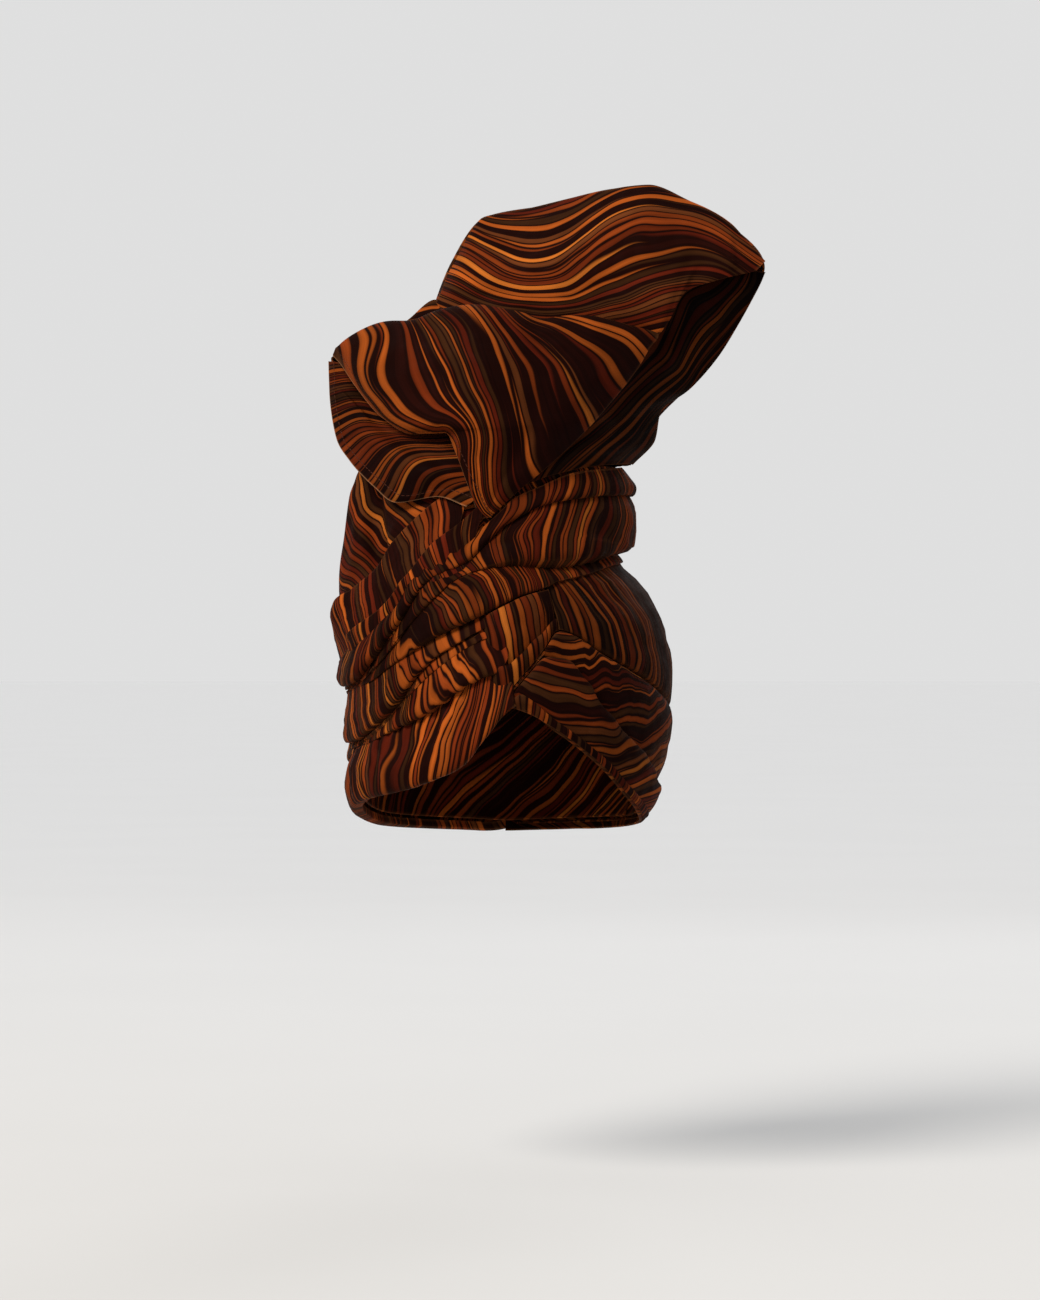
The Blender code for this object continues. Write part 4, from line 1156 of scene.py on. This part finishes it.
# Creases as those of the crown, and strands as strand_map takes them.
DRAPE_CREASES = (
    ("ridge", 7, 2.0, (-58, 150), (-52, 125), (-36, 103), (-20, 80), (-13, 50)),
    ("ridge", 6, -2.6, (-72, 128), (-52, 108), (-34, 96), (-21, 70)),
    ("ridge", 8, -2.0, (-8, 152), (6, 120), (12, 92), (4, 62)),
    ("ridge", 8, 1.6, (22, 150), (36, 122), (38, 96)),
    ("ridge", 6, -1.4, (12, 157), (42, 140), (66, 118)),
)
DRAPE_STRANDS = (
    (0, 0, (-92, 130), (-81, 111), (-66, 96), (-48, 87), (-33, 87), (-26, 76), (-13, 39)),
    (11, -6, (-70, 143), (-69, 122), (-56, 100), (-37, 89), (-24, 76), (-12, 39)),
    (31, -8, (-52, 151), (-35, 121), (-22, 98), (-16, 72), (-11, 42)),
    (48, -8, (-41, 155), (-22, 129), (-9, 105), (-3, 78), (-4, 58)),
    (65, -8, (-20, 156), (-5, 129), (10, 98), (13, 71)),
    (83, -8, (-5, 155), (10, 136), (26, 121), (41, 92)),
    (100, -8, (6, 154), (23, 144), (39, 133), (53, 117), (60, 108)),
    (115, -10, (12, 157), (47, 147), (71, 136), (79, 128)),
    (127, -10, (14, 160), (52, 156), (79, 147), (84, 143)),
)
FAN_CREASES = (
    ("lap", 9, 1.8, (128, 204), (129, 186), (127, 166)),
    ("ridge", 9, -3.0, (30, 160), (60, 170), (90, 178), (118, 180)),
    ("ridge", 10, 2.2, (-20, 180), (20, 184), (60, 198), (100, 206)),
    ("ridge", 7, -1.6, (-24, 196), (16, 194), (52, 210)),
    ("ridge", 5, -1.5, (-30, 163), (-6, 165), (8, 160)),
)
# The upper edge of the cloth in the hollow between the fan and the drape.
FAN_UNDER = table(
    ("place", "across", "deep", "up"),
    (0, -0.38, -0.06, 0.392),
    (0.12, -0.3, -0.035, 0.455),
    (0.22, -0.229, -0.01, 0.512),
    (0.33, -0.16, 0.015, 0.592),
    (0.42, -0.112, -0.12, 0.55),
    (0.52, -0.045, -0.175, 0.512),
    (0.63, 0.035, -0.245, 0.5),
    (0.75, 0.13, -0.275, 0.49),
    (0.87, 0.235, -0.265, 0.485),
    (1, 0.345, -0.25, 0.49),
)
FAN_STRANDS = (
    (56, 0, (-10, 213), (10, 212), (30, 218)),
    (44, 0, (-16, 208), (7, 201), (26, 204), (47, 218), (64, 227)),
    (30, 0, (-22, 201), (3, 189), (22, 189), (48, 206), (75, 221), (98, 219), (118, 214), (132, 203)),
    (15, 0, (-27, 191), (-5, 178), (18, 174), (41, 185), (71, 206), (98, 210), (118, 204), (143, 186)),
    (
        0, 0, (-35, 184), (-13, 171), (10, 164), (37, 165), (60, 178), (88, 192), (112, 194), (127, 188),
        (141, 178),
    ),
    (-13, 30, (10, 160), (37, 159), (66, 166), (94, 179), (118, 182), (134, 174)),
    (-27, 50, (45, 153), (60, 157), (88, 166), (117, 170), (130, 165)),
)
PANEL_CREASES = (
    ("ridge", 9, -4.5, (52, 92), (72, 112), (84, 136), (98, 158)),
    ("ridge", 6, 1.4, (30, 74), (66, 96), (100, 140)),
    ("ridge", 5, -1.2, (22, 78), (60, 108), (96, 150), (125, 172)),
)
PANEL_STRANDS = (
    (-14, 0, (23, 62), (54, 94), (83, 128), (105, 165), (130, 176)),
    (0, 0, (31, 62), (66, 91), (100, 125), (123, 154), (145, 176)),
    (14, 0, (54, 65), (77, 85), (105, 120), (131, 154), (147, 178)),
    (28, 0, (73, 71), (86, 88), (112, 122), (134, 152)),
)
RUFFLE_STRANDS = (
    (0, 0, (-93, 100), (-82, 104), (-74, 101)),
    (12, 0, (-93, 91), (-77, 97), (-60, 93), (-47, 88)),
    (30, 0, (-83, 73), (-72, 84), (-57, 88), (-44, 86)),
    (45, 0, (-73, 61), (-63, 75), (-49, 81), (-36, 79)),
    (60, 0, (-63, 53), (-56, 67), (-43, 74), (-30, 74)),
    (74, 0, (-50, 51), (-45, 63), (-33, 68), (-24, 68)),
)
RUFFLE_CREASES = (
    ("ridge", 5, 1.8, (-92, 96), (-76, 84), (-52, 70), (-32, 60)),
    ("ridge", 4, -1.8, (-88, 112), (-66, 88), (-44, 76), (-28, 66)),
    ("lap", 6, 1.6, (-98, 118), (-80, 100), (-74, 92)),
)


def edge_hem(face):
    """A hem map for the edge that a sheet starts from."""
    across = run_lengths(face, 1)
    return np.stack([run_lengths(face, 0)[:, :1] + 0 * across, across], axis=-1)


def hem_relief(hem):
    """The turned hem is one cloth thicker."""
    return 0.0007 * smooth_step((HEM_WIDTH - hem[..., 1]) / 0.0008)


def creased(face, creases, calm, soft, hem=None):
    """A sheet with its creases and soft waves, which fade out towards its edges, and with its turned hem.
    The waves are a height, a length across and up, and a seed."""
    tall, wide, high, seed = soft
    waves = tall * ripple(face[..., 0] / wide, face[..., 2] / high, seed)
    relief = (front_relief(face, creases) + waves) * calm + (0 if hem is None else hem_relief(hem))
    return face + grid_normals(face) * relief[..., None]


def calm_edges(count):
    return np.sin(np.pi * np.linspace(0.03, 0.97, count))


def add_tower_cloth():
    fine, half = SHEET_FINE, SHEET_FINE // 2
    rows = shifted(CENTRE_DRAPE, "from_", 0.78, 1.0, -0.045, 0.0, 0.014)
    drape = sheet_points(rows, fine, fine, DRAPE_SKEW).swapaxes(0, 1)
    share = np.linspace(0, 1, fine + 1)
    folds = np.outer(drape_folds(share) * np.sin(np.pi * share), share)
    drape = drape + grid_normals(drape) * folds[..., None]
    hem = edge_hem(drape.swapaxes(0, 1)).swapaxes(0, 1)
    calm = np.sin(np.pi * np.clip(share, 0.03, 0.97))[:, None]
    drape = creased(drape, DRAPE_CREASES, calm, (0.0011, 0.05, 0.075, 4.0), hem)
    add_cloth("centre_drape_cloth", (drape, strand_map(drape, DRAPE_STRANDS), hem))
    upper = tower_point(*(along(FAN_UNDER, way, share) for way in ("across", "deep", "up")))
    under = hollow_sheet(upper, drape[:, -1] + np.array((0, 0.0030, -0.0030)), 0.3)
    under_map = np.stack([run_lengths(under, 1), run_lengths(under, 0)], axis=-1)
    fan = sheet_points(TOP_FAN, fine, half)
    fan = creased(fan, FAN_CREASES, calm_edges(half + 1), (0.0012, 0.06, 0.04, 2.0))
    fan_sheet = (fan, strand_map(fan, FAN_STRANDS), no_hem(fan))
    add_cloth("top_fan_cloth", fan_sheet, (under, under_map, no_hem(under)))
    rows = shifted(RIGHT_PANEL, "from_", -1.0, 0.0, -0.03, 0.012, 0.0)
    rows = shifted(rows, "from_", 0.62, 0.8, 0.01, 0.035, 0.055)
    panel = sheet_points(rows, fine, half).swapaxes(0, 1)
    panel = creased(panel, PANEL_CREASES, calm_edges(half + 1)[:, None], (0.0009, 0.05, 0.03, 1.0))
    add_cloth("right_panel_cloth", (panel, strand_map(panel, PANEL_STRANDS), no_hem(panel)))
    ruffle = sheet_points(shifted(LEFT_RUFFLE, "to_", 0.1, 0.4, 0.05, 0.0, 0.04), fine, half)
    hem = edge_hem(ruffle)
    ruffle = creased(ruffle, RUFFLE_CREASES, calm_edges(half + 1), (0.0008, 0.03, 0.03, 9.0), hem)
    add_cloth("left_ruffle_cloth", (ruffle, strand_map(ruffle, RUFFLE_STRANDS), hem))


# --- The studio -----------------------------------------------------------------------------------------

VIEW_CENTRE = (0.0086, 0.0, -0.034)
VIEW_DISTANCE = 2.6
VIEW_HEIGHT = 0.741  # what the picture spans at the head
FLOOR_HEIGHT = -0.335
FLOOR_REACH = 40.0
LAMP_TARGET = (0.0, 0.0, 0.05)
LAMPS = (
    # name, place, size, watts, colour
    ("key", (-1.2, -1.6, 1.5), 1.1, 84, (1.0, 0.95, 0.88)),
    ("fill", (1.6, -1.4, 0.5), 1.4, 2, (0.95, 0.97, 1.0)),
    ("back", (0.6, 1.8, 1.2), 1.2, 12, (1.0, 1.0, 1.0)),
)
SKY = 0.74  # the world's strength
LIGHT_PER_WATT = 0.083  # that a lamp gives the floor, in the same units, at a metre and face on
FLOOR_TONE = 0.73  # how light the paper looks


def evened_tone(place):
    """The paper's tone: darker where the lamps light it more, so that it looks even from all sides."""
    shares = []
    for _, lamp, _, watts, _ in LAMPS:
        away = place.into("VectorMath", {0: place, 1: lamp}, operation="SUBTRACT")
        faced = unit(np.array(LAMP_TARGET) - lamp).tolist()
        facing, square = (
            away.into("VectorMath", {0: away, 1: other}, "Value", operation="DOT_PRODUCT")
            for other in (faced, away)
        )
        strength = LIGHT_PER_WATT * watts * (lamp[2] - FLOOR_HEIGHT)
        shares.append(facing.math("MAXIMUM", 0.0) * strength / (square * square))
    lit = sum(shares, SKY)
    return lit.into("Math", {0: FLOOR_TONE, 1: lit}, operation="DIVIDE")


def add_floor():
    mesh = bpy.data.meshes.new("floor")
    ways = ((-1, -1), (1, -1), (1, 1), (-1, 1))
    corners = [(x * FLOOR_REACH, y * FLOOR_REACH, FLOOR_HEIGHT) for x, y in ways]
    mesh.from_pydata(corners, [], [(0, 1, 2, 3)])
    floor = bpy.data.objects.new("floor", mesh)
    bpy.context.scene.collection.objects.link(floor)
    material = bpy.data.materials.new("floor_paper")
    material.use_nodes = True
    tree = material.node_tree
    surface = tree.nodes["Principled BSDF"].inputs
    place = Signal(make(tree, "TexCoord"), "Object")
    tone = evened_tone(place) * between(noise_of(place, 3.0, 2.0), 0.3, 0.7, 0.99, 1.0)
    feed(surface["Base Color"], place_of(tone, tone, tone))
    surface["Roughness"].default_value = 0.9
    mesh.materials.append(material)


def add_light(name, place, size, watts, colour):
    light = bpy.data.lights.new(name, "AREA")
    light.shape = "DISK"
    light.size = size
    light.energy = watts
    light.color = colour
    lamp = bpy.data.objects.new(name, light)
    bpy.context.scene.collection.objects.link(lamp)
    lamp.location = place
    lamp.rotation_euler = aim(np.array(LAMP_TARGET) - np.array(place))


def aim(toward):
    """The turn that points a camera or a lamp along a direction."""
    toward = unit(np.asarray(toward, float))
    return (np.pi / 2 + np.arcsin(toward[2]), 0.0, np.arctan2(-toward[0], toward[1]))


def add_studio():
    world = bpy.data.worlds.new("studio")
    bpy.context.scene.world = world
    world.use_nodes = True
    background = world.node_tree.nodes["Background"]
    background.inputs["Color"].default_value = (1.0, 1.0, 1.0, 1)
    background.inputs["Strength"].default_value = SKY
    bpy.context.scene.view_settings.view_transform = "Standard"
    for lamp in LAMPS:
        add_light(*lamp)
    camera = bpy.data.cameras.new("camera")
    camera.sensor_fit = "VERTICAL"
    camera.sensor_height = 36.0
    camera.lens = 36.0 * VIEW_DISTANCE / VIEW_HEIGHT
    camera.clip_end = 60
    stand = bpy.data.objects.new("camera", camera)
    bpy.context.scene.collection.objects.link(stand)
    stand.location = (VIEW_CENTRE[0], -VIEW_DISTANCE, VIEW_CENTRE[2])
    stand.rotation_euler = (np.pi / 2, 0, 0)
    bpy.context.scene.camera = stand


def main():
    add_studio()
    add_floor()
    add_crown_cloth()
    add_left_wraps()
    add_right_wraps()
    add_diagonal_cloth()
    add_back_cloth()
    add_bundle_cloth()
    add_tower_cloth()
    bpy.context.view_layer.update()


main()
